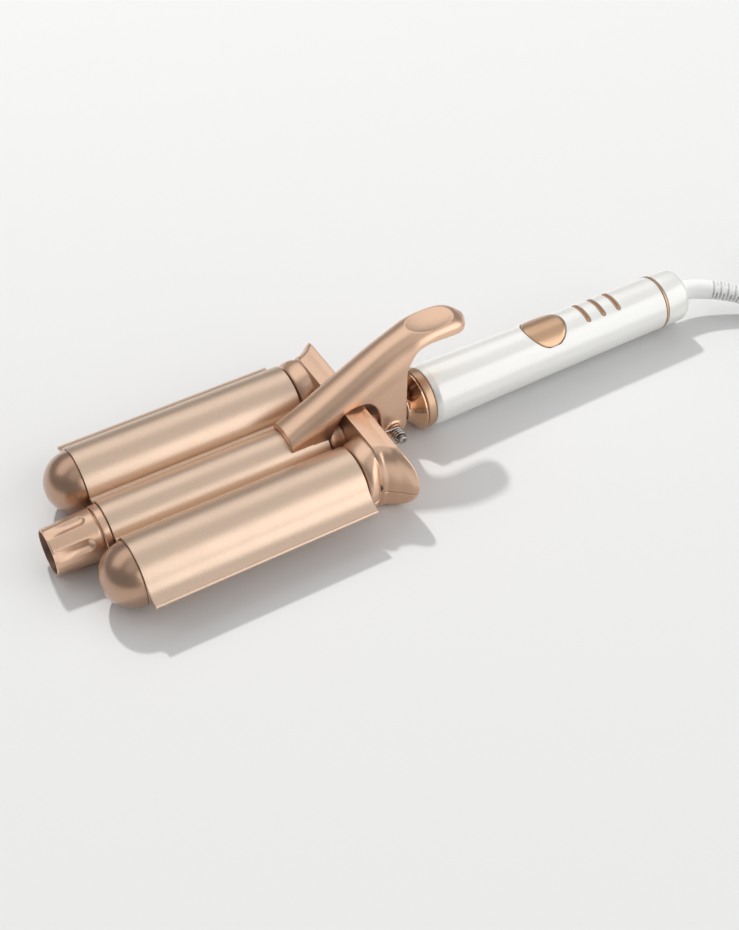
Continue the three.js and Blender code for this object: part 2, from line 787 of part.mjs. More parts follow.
// Side view of the lever's walls: foot, arch over the crossbar, pivot boss, web and thumb rest
function leverSide() {
  const shape = new THREE.Shape();
  const curve = ([ax, az], [bx, bz], [cx, cz]) => {
    shape.bezierCurveTo(pivotX + ax, az, pivotX + bx, bz, pivotX + cx, cz);
  };
  const footLow = middleAxis + plateOuterMiddleAt(leverHalf - 1) + fitGap;
  const archFootX = pivotX - Math.sqrt(archRadius ** 2 - (footLow - pivotZ) ** 2);
  const archStart = Math.PI - Math.asin((footLow - pivotZ) / archRadius);
  const archEnd = Math.PI - Math.asin((archTop - 3 - pivotZ) / archRadius);
  shape.moveTo(leverFront - 1, footLow);
  shape.lineTo(archFootX, footLow);
  shape.absarc(pivotX, pivotZ, archRadius, archStart, archEnd, true);
  curve([-26.8, archTop - 0.6], [-24, archTop], [-21, archTop]);
  curve([-13.5, archTop], [-7.5, archTop - 5.3], [-7.2, 20]);
  shape.lineTo(pivotX - 6.4, pivotZ);
  shape.absarc(pivotX, pivotZ, 6.4, Math.PI, 1.82 * Math.PI, false);
  shape.lineTo(leverWebRear, pivotZ - 0.4);
  shape.lineTo(leverWebRear, 46);
  curve([leverWebSetback + 0.9, 54], [11.5, 59.4], [18, 60.4]);
  curve([26, 61], [34, 59.4], [leverThumbReach + 2, 58.6]);
  shape.lineTo(leverRear + 2, 90);
  shape.lineTo(leverFront - 1, 90);
  shape.closePath();
  return shape;
}

function plateOuterMiddleAt(y) {
  return Math.sqrt(plateOuterMiddle ** 2 - y ** 2);
}

function lever() {
  const outer = toSolid(lofted(leverStations(leverFront, leverRear, 20).map((x) => leverRing(x, 0, 10))));
  const hollowEnd = leverWebRear - leverWall;
  const inner = leverStations(leverFront + leverWall, hollowEnd, 6).map((x) => leverRing(x, leverWall, 6));
  inner.forEach((ring) => [ring[0], ring[ring.length - 1]].forEach((corner) => corner.setZ(-2)));
  const neckRoom = leverHalf - leverWall;
  const rearGap = block(hollowEnd - 4, leverWebRear + 1, -neckRoom, neckRoom, -2, pivotZ + 31);
  const arch = rod(leverFront - 1, bracketFront, plateOuterMiddle + fitGap, 0, middleAxis);
  let body = outer.intersect(drawnAlongY(leverSide(), 30, 5)).subtract(toSolid(lofted(inner)));
  body = body.subtract(rearGap).subtract(arch);
  rivetStations().forEach((x) => {
    const low = middleAxis + plateOuterMiddle + fitGap;
    const roof = leverTopAt(x) - leverWall + 0.4;
    body = body.add(post(x, 0, low, roof, 3.4));
    body = body.subtract(post(x, 0, low - 1, low + 3.2, rivetRadius() + fitGap));
  });
  return body.subtract(thumbDish()).subtract(crossRod(pivotX, pivotZ, -20, 20, pivotScrewRadius + fitGap));
}

// Oval dish in the thumb rest
function thumbDish() {
  const [reachX, reachY, reachZ] = [32, 24, 14];
  const geometry = new THREE.SphereGeometry(1, 20, 24).rotateX(Math.PI / 2);
  geometry.scale(reachX, reachY, reachZ);
  const top = leverTopAt(pivotX + dishSetback);
  geometry.translate(pivotX + dishSetback, 0, top - dishDepth + reachZ);
  return toSolid(geometry);
}

function footRivet(x) {
  const low = middleAxis + plateInnerMiddle + 0.1;
  const high = middleAxis + plateOuterMiddle + fitGap + 2.9;
  return post(x, 0, low, high, rivetRadius());
}

// Pivot: one shouldered screw on each side; the near one is long and carries the return spring
function springLength() {
  return springTurns * springPitch + springWire;
}

function pivotScrew(side, outboard) {
  const headIn = leverHalf + washerThickness + 2 * fitGap + outboard;
  const [y0, y1] = [3.2, headIn + 0.1];
  const span = (a, b) => (side > 0 ? [a, b] : [-b, -a]);
  const shank = crossRod(pivotX, pivotZ, ...span(y0, y1), pivotScrewRadius);
  const head = crossRod(pivotX, pivotZ, ...span(headIn, headIn + 1.8), 2.6, hiddenSides);
  const socket = crossRod(pivotX, pivotZ, ...span(headIn + 0.8, headIn + 3), 1.3, 6);
  return head.add(shank).subtract(socket);
}

function pivotWasher(side) {
  const [a, b] = [leverHalf + fitGap, leverHalf + fitGap + washerThickness];
  const [y0, y1] = side > 0 ? [a, b] : [-b, -a];
  const ring = crossRod(pivotX, pivotZ, y0, y1, washerRadius, hiddenSides);
  return ring.subtract(crossRod(pivotX, pivotZ, y0 - 1, y1 + 1, pivotScrewRadius + fitGap));
}

// A round tube of one unbroken run of sections along a path of points
function tubeAlong(path, radius, sides, frameUp = new THREE.Vector3(0, 0, 1)) {
  const rings = path.map((point, i) => {
    const before = path[Math.max(i - 1, 0)];
    const after = path[Math.min(i + 1, path.length - 1)];
    const run = after.clone().sub(before).normalize();
    const side = run.clone().cross(frameUp).normalize();
    const up = side.clone().cross(run);
    const size = typeof radius === 'function' ? radius(i) : radius;
    return Array.from({ length: sides }, (_, j) => {
      const angle = ((j + 0.5) / sides) * 2 * Math.PI;
      const offset = side.clone().multiplyScalar(Math.cos(angle) * size);
      return point.clone().add(offset).addScaledVector(up, Math.sin(angle) * size);
    });
  });
  return lofted(rings);
}

// Least distance between parts of a path that aren't neighbours, less the tube's own thickness
function leastGap(path, radius, apart) {
  let least = Infinity;
  for (let i = 0; i < path.length; i += 1) {
    for (let j = i + apart; j < path.length; j += 1) {
      least = Math.min(least, path[i].distanceTo(path[j]));
    }
  }
  return least - 2 * radius;
}

// Return spring: a close coil round the near pivot screw, with both legs running to the front
function pivotSpring() {
  const start = -(leverHalf + washerThickness + 2 * fitGap + springWire / 2);
  const end = start - springTurns * springPitch;
  const steps = springTurns * 8;
  const [top, bottom] = [pivotZ + springRadius, pivotZ - springRadius];
  const path = [new THREE.Vector3(pivotX - 9, start, top + 0.6), new THREE.Vector3(pivotX - 3, start, top)];
  for (let i = 0; i <= steps; i += 1) {
    const turn = (i / steps) * springTurns;
    const angle = Math.PI / 2 - turn * 2 * Math.PI;
    const [x, z] = [pivotX + springRadius * Math.cos(angle), pivotZ + springRadius * Math.sin(angle)];
    path.push(new THREE.Vector3(x, start - turn * springPitch, z));
  }
  path.push(new THREE.Vector3(pivotX - 3, end, bottom));
  path.push(new THREE.Vector3(bracketRear + 1.2, end, bottom - 0.8));
  console.log('least gap of the pivot spring to itself, mm:', leastGap(path, springWire / 2, 5).toFixed(2));
  return tubeAlong(path, springWire / 2, 5, new THREE.Vector3(0, 1, 0));
}

// Mirror-finished bell that hides the joint of neck and handle, and the satin ring behind it
function neckBell() {
  const rise = bellRimRadius - neckRadius - 0.9;
  const profile = [[bellFront, neckRadius + fitGap], [bellFront, neckRadius + 0.75]];
  const steps = 5;
  for (let i = 0; i <= steps; i += 1) {
    const share = i / steps;
    const bend = share * share * (1.55 - 0.55 * share);
    profile.push([bellFront + 0.3 + (bellLength - 1.2) * share, neckRadius + 0.9 + rise * bend]);
  }
  profile.push([bellRear, bellRimRadius]);
  profile.push([bellRear, neckRadius + fitGap]);
  return turned(profile, 0, handleAxis);
}

function frontRing() {
  const profile = [
    [ringFront, neckRadius + fitGap],
    [ringFront, frontRingRadius - 0.7],
    [ringFront + 0.7, frontRingRadius],
    [ringRear - 0.7, frontRingRadius],
    [ringRear, frontRingRadius - 0.7],
    [ringRear, neckRadius + fitGap],
  ];
  return turned(profile, 0, handleAxis);
}

// Handle shell: one moulded tube with an opening for the button and slots for the windows
function handleShell() {
  const profile = [[handleFront, neckRadius + fitGap], [handleFront, handleFrontRadius - 0.9]];
  profile.push([handleFront + 0.5, handleFrontRadius - 0.5]);
  profile.push([handleFront + handleChamfer, handleRadius(handleFront + handleChamfer)]);
  const steps = 6;
  const start = handleFront + handleChamfer;
  for (let i = 1; i <= steps; i += 1) {
    const x = start + ((handleRear - start) * i) / steps;
    profile.push([x, handleRadius(x)]);
  }
  const seat = 4;
  profile.push([handleRear, handleRadius(handleRear) - handleWall]);
  for (let i = steps - 2; i >= 1; i -= 2) {
    const x = start + ((handleRear - start) * i) / steps;
    profile.push([x, handleRadius(x) - handleWall]);
  }
  profile.push([handleFront + seat, handleFrontRadius - handleWall]);
  profile.push([handleFront + seat, neckRadius + fitGap]);
  const tube = turned(profile, 0, handleAxis);
  const opening = post(buttonX, 0, handleAxis + 2, handleAxis + 30, buttonRadius + buttonGap, shownSides);
  const slots = windowPlaces().map((x) => windowPlan(x, buttonGap * 0.6));
  return tube.subtract(opening).subtract(wasm.Manifold.union(slots));
}

function windowPlaces() {
  return Array.from({ length: windowCount }, (_, i) => windowFirstX + i * windowPitch);
}

// Upright prism over one window: a slot with round ends across the handle
function windowPlan(x, grow) {
  const [half, reach] = [windowWidth / 2 + grow, windowHalfLength + grow];
  const shape = new THREE.Shape();
  shape.moveTo(x - half, -reach + half);
  shape.absarc(x, -reach + half, half, Math.PI, 2 * Math.PI, false);
  shape.absarc(x, reach - half, half, 0, Math.PI, false);
  shape.closePath();
  return drawnUp(shape, handleAxis + 8, handleAxis + 20, 4);
}

function handleSleeve(inner, outer, x0, x1) {
  const steps = 2;
  const profile = [];
  for (let i = 0; i <= steps; i += 1) {
    const x = x0 + ((x1 - x0) * i) / steps;
    profile.push([x, handleRadius(x) + outer]);
  }
  for (let i = steps; i >= 0; i -= 1) {
    const x = x0 + ((x1 - x0) * i) / steps;
    profile.push([x, handleRadius(x) + inner]);
  }
  return turned(profile, 0, handleAxis);
}

function lightWindow(x) {
  const sleeve = handleSleeve(-handleWall, 0.1, x - 4, x + 4);
  const stemTop = handleAxis + handleRadius(x) - handleWall + 0.3;
  const stem = block(x - 0.9, x + 0.9, -3, 3, lampTop() + fitGap, stemTop);
  return sleeve.intersect(windowPlan(x, 0)).add(stem);
}

// Power button: a round saddle that follows the handle, with a stem that meets the switch
function powerButton() {
  const reach = buttonRadius + 3;
  const skin = handleSleeve(-buttonThickness, 0.25, buttonX - reach, buttonX + reach);
  const cap = skin.intersect(post(buttonX, 0, handleAxis + 2, handleAxis + 30, buttonRadius, shownSides));
  const low = switchTop() + buttonTravel + fitGap;
  const high = handleAxis + buttonTopRadius - buttonThickness + 0.4;
  return cap.add(post(buttonX, 0, low, high, 2));
}

function boardTop() {
  return handleAxis + 3;
}

function switchTop() {
  return boardTop() + 4.2;
}

// Coil spring under the button, short enough to stay clear of the button when it is pressed
function buttonSpring() {
  const [turns, wire, coil] = [2, 0.35, 5.2];
  const underside = Math.sqrt((buttonTopRadius - buttonThickness) ** 2 - coil ** 2);
  const low = boardTop() + wire + fitGap;
  const high = handleAxis + underside - buttonTravel - wire - 2 * fitGap;
  const path = [];
  for (let i = 0; i <= turns * 8; i += 1) {
    const share = i / (turns * 8);
    const angle = share * turns * 2 * Math.PI;
    const [x, y] = [buttonX + coil * Math.cos(angle), coil * Math.sin(angle)];
    path.push(new THREE.Vector3(x, y, low + (high - low) * share));
  }
  return tubeAlong(path, wire, 5);
}

// Inside the handle: tray, circuit board, switch, lamps, cord clamp and leads
function innerTray() {
  const [x0, x1] = [neckRear + 2, handleRear - 4];
  const steps = 2;
  const profile = [];
  for (let i = 0; i <= steps; i += 1) {
    const x = x0 + ((x1 - x0) * i) / steps;
    profile.push([x, handleRadius(x) - handleWall - fitGap]);
  }
  for (let i = steps; i >= 0; i -= 1) {
    const x = x0 + ((x1 - x0) * i) / steps;
    profile.push([x, handleRadius(x) - handleWall - fitGap - trayWall]);
  }
  const round = turned(profile, 0, handleAxis, hiddenSides);
  const tray = round.intersect(block(x0 - 1, x1 + 1, -20, 20, -5, boardTop() - boardThickness - fitGap));
  const ribs = [x0 + 14, buttonX + 6, boardRear - 8].map((x) => {
    const rib = rod(x, x + 2, handleRadius(x) - handleWall - 1, 0, handleAxis, 0, hiddenSides);
    return rib.intersect(block(x - 1, x + 3, -20, 20, -5, boardTop() - boardThickness - fitGap));
  });
  return tray.add(wasm.Manifold.union(ribs));
}

// Circuit board with its relay and its capacitor soldered on
function circuitBoard() {
  const board = block(neckRear + 8, boardRear, -10, 10, boardTop() - boardThickness, boardTop());
  const relay = block(neckRear + 20, neckRear + 34, -7, 7, boardTop() - 0.2, boardTop() + 8);
  const capacitor = crossRod(neckRear + 42, boardTop() + 3.8, -6, 6, 4, 20);
  return board.add(relay).add(capacitor);
}

function powerSwitch() {
  const body = block(buttonX - 3, buttonX + 3, -3, 3, boardTop() + fitGap, boardTop() + 3.2);
  return body.add(post(buttonX, 0, boardTop() + 3, switchTop(), 1.7));
}

// Three lamps on one strip, each under its window
function indicatorStrip() {
  const places = windowPlaces();
  const [low, high] = [boardTop() + fitGap, boardTop() + 0.7];
  const strip = block(places[0] - 2, places[places.length - 1] + 2, -1, 1, low, high);
  return places.reduce((all, x) => all.add(block(x - 1, x + 1, -1.5, 1.5, low, lampTop())), strip);
}

function lampTop() {
  return boardTop() + 1.4;
}

function thermalFuse() {
  const radius = 1.9;
  const x = bracketFront + frontWall + fitGap + radius;
  return crossRod(x, splitHeight + 10, -34, -22, radius);
}

// Sleeve that holds the heaters' leads, from the wireway of the bracket to the circuit board
function heaterLeads() {
  const radius = 1.9;
  const end = boardTop() - boardThickness - fitGap - radius;
  const way = bracketFront + frontWall + fitGap + radius;
  const points = [
    [way, 15, 24.4], [way, 8.4, 21.4], [way + 1, 3.6, 18.4], [way + 4.6, 0.9, 17.1], [way + 10, 0, 17],
    [pivotX + 18, 0, 17], [neckRear - 2, 0, 16.6], [neckRear + 6, 0, end], [neckRear + 12, 0, end],
  ];
  const curve = new THREE.CatmullRomCurve3(points.map((p) => new THREE.Vector3(...p)));
  return tubeAlong(curve.getSpacedPoints(13), radius, 6);
}

function rearRing() {
  const radius = handleRearRadius + 0.15;
  const inner = handleRearRadius - handleWall - 1;
  const [x0, x1] = [rearRingFront, rearRingFront + rearRingLength];
  const profile = [[x0, inner], [x0, radius], [x1, radius], [x1, inner]];
  return turned(profile, 0, handleAxis);
}

function endCap() {
  const radius = handleRearRadius;
  const bore = reliefRadius + fitGap;
  const spigot = handleRearRadius - handleWall - 1 - fitGap;
  const rear = endCapRear;
  const profile = [
    [handleRear - 3, spigot - 1.6],
    [handleRear - 3, spigot],
    [endCapFront, spigot],
    [endCapFront, radius],
    [rear - 1.9, radius - 0.25],
    [rear - 0.5, radius - 0.9],
    [rear, radius - 2.2],
    [rear, bore],
    [rear - endCapWall, bore],
    [rear - endCapWall, spigot - 1.6],
  ];
  return turned(profile, 0, handleAxis);
}

// Strain relief: its route is chosen by hand, straight out of the cap and then drooping to one side. It is
// measured from the middle of the cap's rear face.
const reliefRoute = [
  [-7.3, 0, 0], [-0.5, 0, 0], [5.5, -0.3, -0.1], [11.5, -1.5, -0.5], [17.5, -3.9, -1.3], [23.5, -7.1, -2.2],
  [29.5, -10.9, -3.3], [35.5, -15.3, -4.8], [41.3, -20.2, -6.4], [46.5, -25.2, -8],
];
const reliefFlangeLength = 2.2;

function reliefPath(steps) {
  const points = reliefRoute.map(([dx, y, dz]) => new THREE.Vector3(endCapRear + dx, y, handleAxis + dz));
  return new THREE.CatmullRomCurve3(points).getSpacedPoints(steps);
}

function strainRelief() {
  const steps = 26;
  const ribStart = 12;
  const radius = (i) => {
    const taper = reliefRadius + (reliefEndRadius - reliefRadius) * (i / steps);
    const inSlot = i > ribStart && i < steps - 1 && (i - ribStart) % 3 === 0;
    return inSlot ? taper - 1.1 : taper;
  };
  const sleeve = toSolid(tubeAlong(reliefPath(steps), radius, 10));
  const flangeFront = endCapRear + reliefRoute[0][0];
  const flangeEnd = flangeFront + reliefFlangeLength;
  const flange = rod(flangeFront, flangeEnd, reliefRadius + 3, 0, handleAxis, 0, hiddenSides);
  return sleeve.add(flange);
}

// Clamp that holds the cord down on the tray
function cordClamp() {
  const [x0, x1] = [boardRear + 6, boardRear + 13];
  const half = 7.5;
  const trayInner = handleRadius(x1) - handleWall - fitGap - trayWall;
  const foot = Math.sqrt(trayInner ** 2 - half ** 2) - fitGap;
  const reach = cordRadius + fitGap;
  const low = block(x0, x1, -half, half, handleAxis - foot, handleAxis - reach);
  const high = block(x0, x1, -half, half, handleAxis + reach, handleAxis + 6);
  const posts = [6, -6].map((y) => block(x0 + 2, x0 + 5, y - 1, y + 1, handleAxis - 5, handleAxis + 5));
  return low.add(high).add(posts[0]).add(posts[1]);
}

// Stretch of the cord inside the handle, from the board to the relief
function innerCord() {
  return rod(boardRear + fitGap, endCapRear + reliefRoute[0][0] - fitGap, cordRadius, 0, handleAxis, 0, 12);
}

// Cord: from the relief down to the floor, along it into a coil, and out of the coil to the plug. The
// route's points are measured from the end cap's rear face.
const cordRoute = [
  [50.1, -29.4, 7.2], [52.5, -34.2, 6.1], [54, -39.4, 5.1], [54.5, -45, 4.4], [54.1, -50.6, 4.15],
];

// Coil: the tube spirals in and out at a steady rate and climbs a layer where the spiral turns back
function coilPath() {
  const stepsPerTurn = 24;
  const total = coilTurns * stepsPerTurn;
  const perLayer = coilTurns / coilLayers;
  const reach = perLayer * coilPitch;
  const startAngle = Math.PI;
  const path = [];
  for (let i = 0; i <= total; i += 1) {
    const turn = i / stepsPerTurn;
    const layer = Math.min(Math.floor(turn / perLayer), coilLayers - 1);
    const share = turn / perLayer - layer;
    const inwards = layer % 2 === 0 ? share : 1 - share;
    const radius = coilMeanRadius + reach / 2 - reach * inwards;
    const angle = startAngle + turn * 2 * Math.PI;
    const z = cordRadius + tieThickness + fitGap + coilPitch * coilClimb(turn, perLayer);
    const [x, y] = [coilCentreX + radius * Math.cos(angle), coilCentreY + radius * Math.sin(angle)];
    path.push(new THREE.Vector3(x, y, z));
  }
  return straightEnds(path);
}

// Layers climbed so far: each climb takes the half turn round the place where the spiral turns back
function coilClimb(turn, perLayer) {
  let climbed = 0;
  for (let layer = 1; layer < coilLayers; layer += 1) {
    climbed += THREE.MathUtils.smoothstep(turn, layer * perLayer - 0.25, layer * perLayer + 0.25);
  }
  return climbed;
}

function straightEnds(path) {
  const reach = 2 * cordRadius;
  const first = path[0].clone().add(path[0].clone().sub(path[1]).setLength(reach));
  const last = path[path.length - 1];
  const end = last.clone().add(last.clone().sub(path[path.length - 2]).setLength(reach));
  return [first, ...path, end];
}

function joinedRun(points, steps, radius, sides) {
  const curve = new THREE.CatmullRomCurve3(points, false, 'centripetal');
  const section = new THREE.Shape();
  for (let i = 0; i < sides; i += 1) {
    const angle = (i / sides) * 2 * Math.PI;
    const [u, v] = [radius * Math.cos(angle), radius * Math.sin(angle)];
    if (i === 0) {
      section.moveTo(u, v);
    } else {
      section.lineTo(u, v);
    }
  }
  section.closePath();
  const geometry = new THREE.ExtrudeGeometry(section, { steps, bevelEnabled: false, extrudePath: curve });
  return geometry;
}

function cordLead(coil) {
  const relief = reliefPath(40);
  const from = relief[40].clone();
  const out = from.clone().sub(relief[39]).normalize();
  const into = coil[0].clone().sub(coil[1]).normalize();
  const points = [from.clone().addScaledVector(out, fitGap)];
  cordRoute.forEach(([dx, y, z]) => points.push(new THREE.Vector3(endCapRear + dx, y, z)));
  points.push(coil[0].clone().addScaledVector(into, 4));
  points.push(coil[0].clone().addScaledVector(into, fitGap));
  return points;
}

// Tail: it leaves the coil's last turn, bends round on top of the coil and ends in the plug there
function cordTail(coil) {
  const last = coil[coil.length - 1];
  const out = last.clone().sub(coil[coil.length - 2]).normalize();
  const inwards = new THREE.Vector3(0, 0, 1).cross(out);
  const rise = plugAxis() - plugCollarDrop - last.z;
  const points = [last.clone().addScaledVector(out, fitGap)];
  const steps = 4;
  for (let i = 0; i <= steps; i += 1) {
    const angle = (Math.PI / 2) * (i / steps);
    const point = last.clone().addScaledVector(out, tailLead + tailBend * Math.sin(angle));
    point.addScaledVector(inwards, tailBend * (1 - Math.cos(angle)));
    point.z += rise * THREE.MathUtils.smoothstep(i, -0.25, steps);
    points.push(point);
  }
  points.push(points[points.length - 1].clone().addScaledVector(inwards, tailEnd));
  return points;
}

// Tie: a soft strap round the coil's turns, on which the coil lies
function cordTie(angle) {
  const reach = (coilTurns / coilLayers) * coilPitch;
  const [inner, outer] = [coilMeanRadius - reach / 2 - cordRadius, coilMeanRadius + reach / 2 + cordRadius];
  const loop = strapOutline(inner - fitGap - 0.2, outer + fitGap + 0.2, tieThickness, tieRoof());
  const geometry = new THREE.ExtrudeGeometry(loop, { depth: tieWidth, bevelEnabled: false, curveSegments: 2 });
  geometry.rotateX(Math.PI / 2);
  geometry.translate(0, tieWidth / 2, 0);
  geometry.rotateZ(angle);
  geometry.translate(coilCentreX, coilCentreY, 0);
  return toSolid(geometry);
}

// Height of the inside of a tie's upper run, just above the coil's top layer
function tieRoof() {
  return 2 * cordRadius + (coilLayers - 1) * coilPitch + tieThickness + 2 * fitGap;
}

function strapOutline(inner, outer, low, high) {
  const loop = roundedBox(inner - tieThickness, outer + tieThickness, 0, high + tieThickness, 3.4);
  loop.holes.push(roundedBox(inner, outer, low, high, 2.6));
  return loop;
}

function roundedBox(x0, x1, z0, z1, radius) {
  const shape = new THREE.Shape();
  shape.moveTo(x0 + radius, z0);
  shape.lineTo(x1 - radius, z0);
  shape.absarc(x1 - radius, z0 + radius, radius, -Math.PI / 2, 0, false);
  shape.absarc(x1 - radius, z1 - radius, radius, 0, Math.PI / 2, false);
  shape.absarc(x0 + radius, z1 - radius, radius, Math.PI / 2, Math.PI, false);
  shape.absarc(x0 + radius, z0 + radius, radius, Math.PI, 1.5 * Math.PI, false);
  shape.closePath();
  return shape;
}

// Plug: a flat two-pin body at the end of the cord, lying on the coil's ties
function plugAxis() {
  return tieRoof() + tieThickness + fitGap + plugHalfThickness;
}

function plugPlace(tail) {
  const last = tail[tail.length - 1];
  const run = last.clone().sub(tail[tail.length - 2]).setZ(0).normalize();
  return { start: last.clone().addScaledVector(run, fitGap), angle: Math.atan2(run.y, run.x) };
}

function placedAtPlug(geometry, place) {
  geometry.rotateZ(place.angle);
  geometry.translate(place.start.x, place.start.y, 0);
  return toSolid(geometry);
}

function plugBody(place) {
  const stations = [
    [0, 3.6, 3.3], [9, 4.2, 3.7], [12, 8.5, 5.4], [22, 15.6, 6.4], [plugLength - 2, 17.4, plugHalfThickness],
    [plugLength, 16.7, plugHalfThickness - 0.5],
  ];
  const rings = stations.map(([x, half, rise]) => Array.from({ length: 16 }, (_, j) => {
    const angle = (j / 16) * 2 * Math.PI;
    const soft = (v) => Math.sign(v) * Math.abs(v) ** 0.7;
    return new THREE.Vector3(x, half * soft(Math.cos(angle)), plugAxis() + rise * soft(Math.sin(angle)));
  }));
  rings.forEach((ring, i) => ring.forEach((point) => {
    point.z -= i < 2 ? plugCollarDrop : 0;
  }));
  return placedAtPlug(lofted(rings), place);
}

function plugPin(place, y) {
  const geometry = new THREE.CapsuleGeometry(pinRadius, pinLength - 2 * pinRadius, 2, 12);
  geometry.rotateZ(Math.PI / 2);
  geometry.translate(plugLength + fitGap + pinLength / 2, y, plugAxis());
  return placedAtPlug(geometry, place);
}

// Assembly: barrels and tips
const sideNames = ['far', 'near', 'middle'];
barrelPlaces().forEach(([y, z, radius], i) => {
  const side = sideNames[i];
  addPiece(`barrel_${side}`, barrelTube(y, z, radius), 'roseSatin');
  addPiece(`heat_spreader_${side}`, heatSpreader(y, z, radius), 'aluminium');
  addPiece(`flat_heater_${side}`, flatHeater(y, z, radius), 'ceramic');
  addPiece(`barrel_insulator_${side}`, barrelInsulator(y, z, radius), 'resin');
});
addPiece('ball_cap_far', ballCap(outerPitch), 'roseSatin');
addPiece('ball_cap_near', ballCap(-outerPitch), 'roseSatin');
addPiece('cool_tip', coolTip(), 'roseSatin');
addPiece('tip_collar', tipCollar(), 'roseSatin');

// Assembly: bracket, neck and clamp
addPiece('bracket_upper', bracketHalf(true), 'roseSatin');
addPiece('bracket_lower', bracketHalf(false), 'roseSatin');
bracketScrewPlaces().forEach(([x, y], i) => addPiece(`bracket_screw_${i + 1}`, bracketScrew(x, y), 'steel'));
addPiece('thermal_fuse', thermalFuse(), 'ceramic');
addPiece('neck_tube', neckTube(), 'steel');
addPiece('heater_leads', heaterLeads(), 'resin');
addPiece('clamp_plate', clampPlate(), 'roseSheet');
addPiece('clamp_lever', lever(), 'roseSatin');
rivetStations().forEach((x, i) => addPiece(`foot_rivet_${i + 1}`, footRivet(x), 'steel'));
addPiece('pivot_screw_far', pivotScrew(1, 0), 'steel');
addPiece('pivot_screw_near', pivotScrew(-1, springLength() + fitGap), 'steel');
addPiece('pivot_washer_far', pivotWasher(1), 'roseMirror');
addPiece('pivot_washer_near', pivotWasher(-1), 'roseMirror');
addPiece('pivot_spring', pivotSpring(), 'steel');

// Assembly: handle
addPiece('neck_bell', neckBell(), 'roseMirror');
addPiece('front_ring', frontRing(), 'roseSatin');
addPiece('handle_shell', handleShell(), 'pearl');
addPiece('power_button', powerButton(), 'roseSatin');
addPiece('button_spring', buttonSpring(), 'steel');
addPiece('power_switch', powerSwitch(), 'resin');
windowPlaces().forEach((x, i) => addPiece(`light_window_${i + 1}`, lightWindow(x), 'roseSatin'));
addPiece('indicator_strip', indicatorStrip(), 'clear');
addPiece('inner_tray', innerTray(), 'resin');
addPiece('circuit_board', circuitBoard(), 'board');
addPiece('rear_ring', rearRing(), 'roseSatin');
addPiece('end_cap', endCap(), 'pearl');
addPiece('cord_clamp', cordClamp(), 'resin');
addPiece('inner_cord', innerCord(), 'whiteRubber');

// Assembly: cord
const coil = coilPath();
const tail = cordTail(coil);
const plug = plugPlace(tail);
console.log('least gap of the cord coil to itself, mm:', leastGap(coil, cordRadius, 12).toFixed(2));
addPiece('strain_relief', strainRelief(), 'whiteRubber');
addPiece('cord_lead', joinedRun(cordLead(coil), 9, cordRadius, 8), 'whiteRubber');
addPiece('cord_coil', tubeAlong(coil, cordRadius, 6), 'whiteRubber');
addPiece('cord_tail', joinedRun(tail, 12, cordRadius, 8), 'whiteRubber');
addPiece('cord_tie_1', cordTie(0.5 * Math.PI), 'resin');
addPiece('cord_tie_2', cordTie(1.5 * Math.PI), 'resin');
addPiece('plug_body', plugBody(plug), 'whiteRubber');
addPiece('plug_pin_1', plugPin(plug, pinPitch / 2), 'steel');
addPiece('plug_pin_2', plugPin(plug, -pinPitch / 2), 'steel');

export default model;
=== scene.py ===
from math import acos, asin, atan2, copysign, cos, hypot, pi, radians, sin, sqrt

import bmesh
import bpy
import numpy as np
from mathutils import Matrix, Vector


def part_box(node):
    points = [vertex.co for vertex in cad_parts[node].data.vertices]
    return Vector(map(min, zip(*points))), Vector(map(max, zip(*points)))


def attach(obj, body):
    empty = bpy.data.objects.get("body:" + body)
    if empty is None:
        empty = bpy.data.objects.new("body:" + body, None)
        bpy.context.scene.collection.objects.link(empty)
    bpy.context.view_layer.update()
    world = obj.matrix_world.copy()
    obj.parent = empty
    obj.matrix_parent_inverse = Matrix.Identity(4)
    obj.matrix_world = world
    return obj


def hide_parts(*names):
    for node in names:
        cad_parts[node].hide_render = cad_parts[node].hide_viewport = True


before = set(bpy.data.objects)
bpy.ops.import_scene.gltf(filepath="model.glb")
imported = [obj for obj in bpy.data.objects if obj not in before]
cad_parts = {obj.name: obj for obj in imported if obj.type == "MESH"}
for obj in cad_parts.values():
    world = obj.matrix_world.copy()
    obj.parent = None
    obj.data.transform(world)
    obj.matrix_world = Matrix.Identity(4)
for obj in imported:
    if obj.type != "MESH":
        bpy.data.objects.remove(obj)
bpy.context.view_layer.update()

MM = 0.001
TAU = 2 * pi

# Stations along the tool are measured from the centres of the ball caps
TIP_FRONT = -28.8
MIDDLE_X = TIP_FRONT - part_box("cool_tip")[0].x / MM

# Barrels, clamp plate and tips
OUTER_RADIUS = 16
MIDDLE_RADIUS = 13
OUTER_PITCH = 33.5
BARREL_WALL = 1.2
BARREL_LENGTH = 114.6
MIDDLE_AXIS = 13.3
PLATE_LENGTH = 115
PLATE_THICKNESS = 1
PLATE_CLEARANCE = 0.4
PLATE_OUTER = OUTER_RADIUS + PLATE_CLEARANCE + PLATE_THICKNESS
PLATE_MIDDLE = MIDDLE_RADIUS + PLATE_CLEARANCE + PLATE_THICKNESS
VALLEY_HEIGHT = 19.4
FLANGE_REACH = 9.72
FLANGE_HEIGHT = 17.6
FLANGE_BEND = 12.4
FLANGE_FLARE = radians(28)
FLANGE_HALF_WIDTH = OUTER_PITCH + PLATE_OUTER * cos(FLANGE_FLARE) + FLANGE_REACH
HEM_WIDTH = 1.4
HEM_THICKNESS = 1.9
TIP_REAR = -4.6
TIP_BASE_RADIUS = 12.9
TIP_END_RADIUS = 11.7
TIP_WALL = 2.1
TIP_RECESSES = 6
SPIGOT_RADIUS = 11.5
COLLAR_RADIUS = 13.3
RECESS_DEPTH = 1.35
RECESS_RADIUS = 4.2

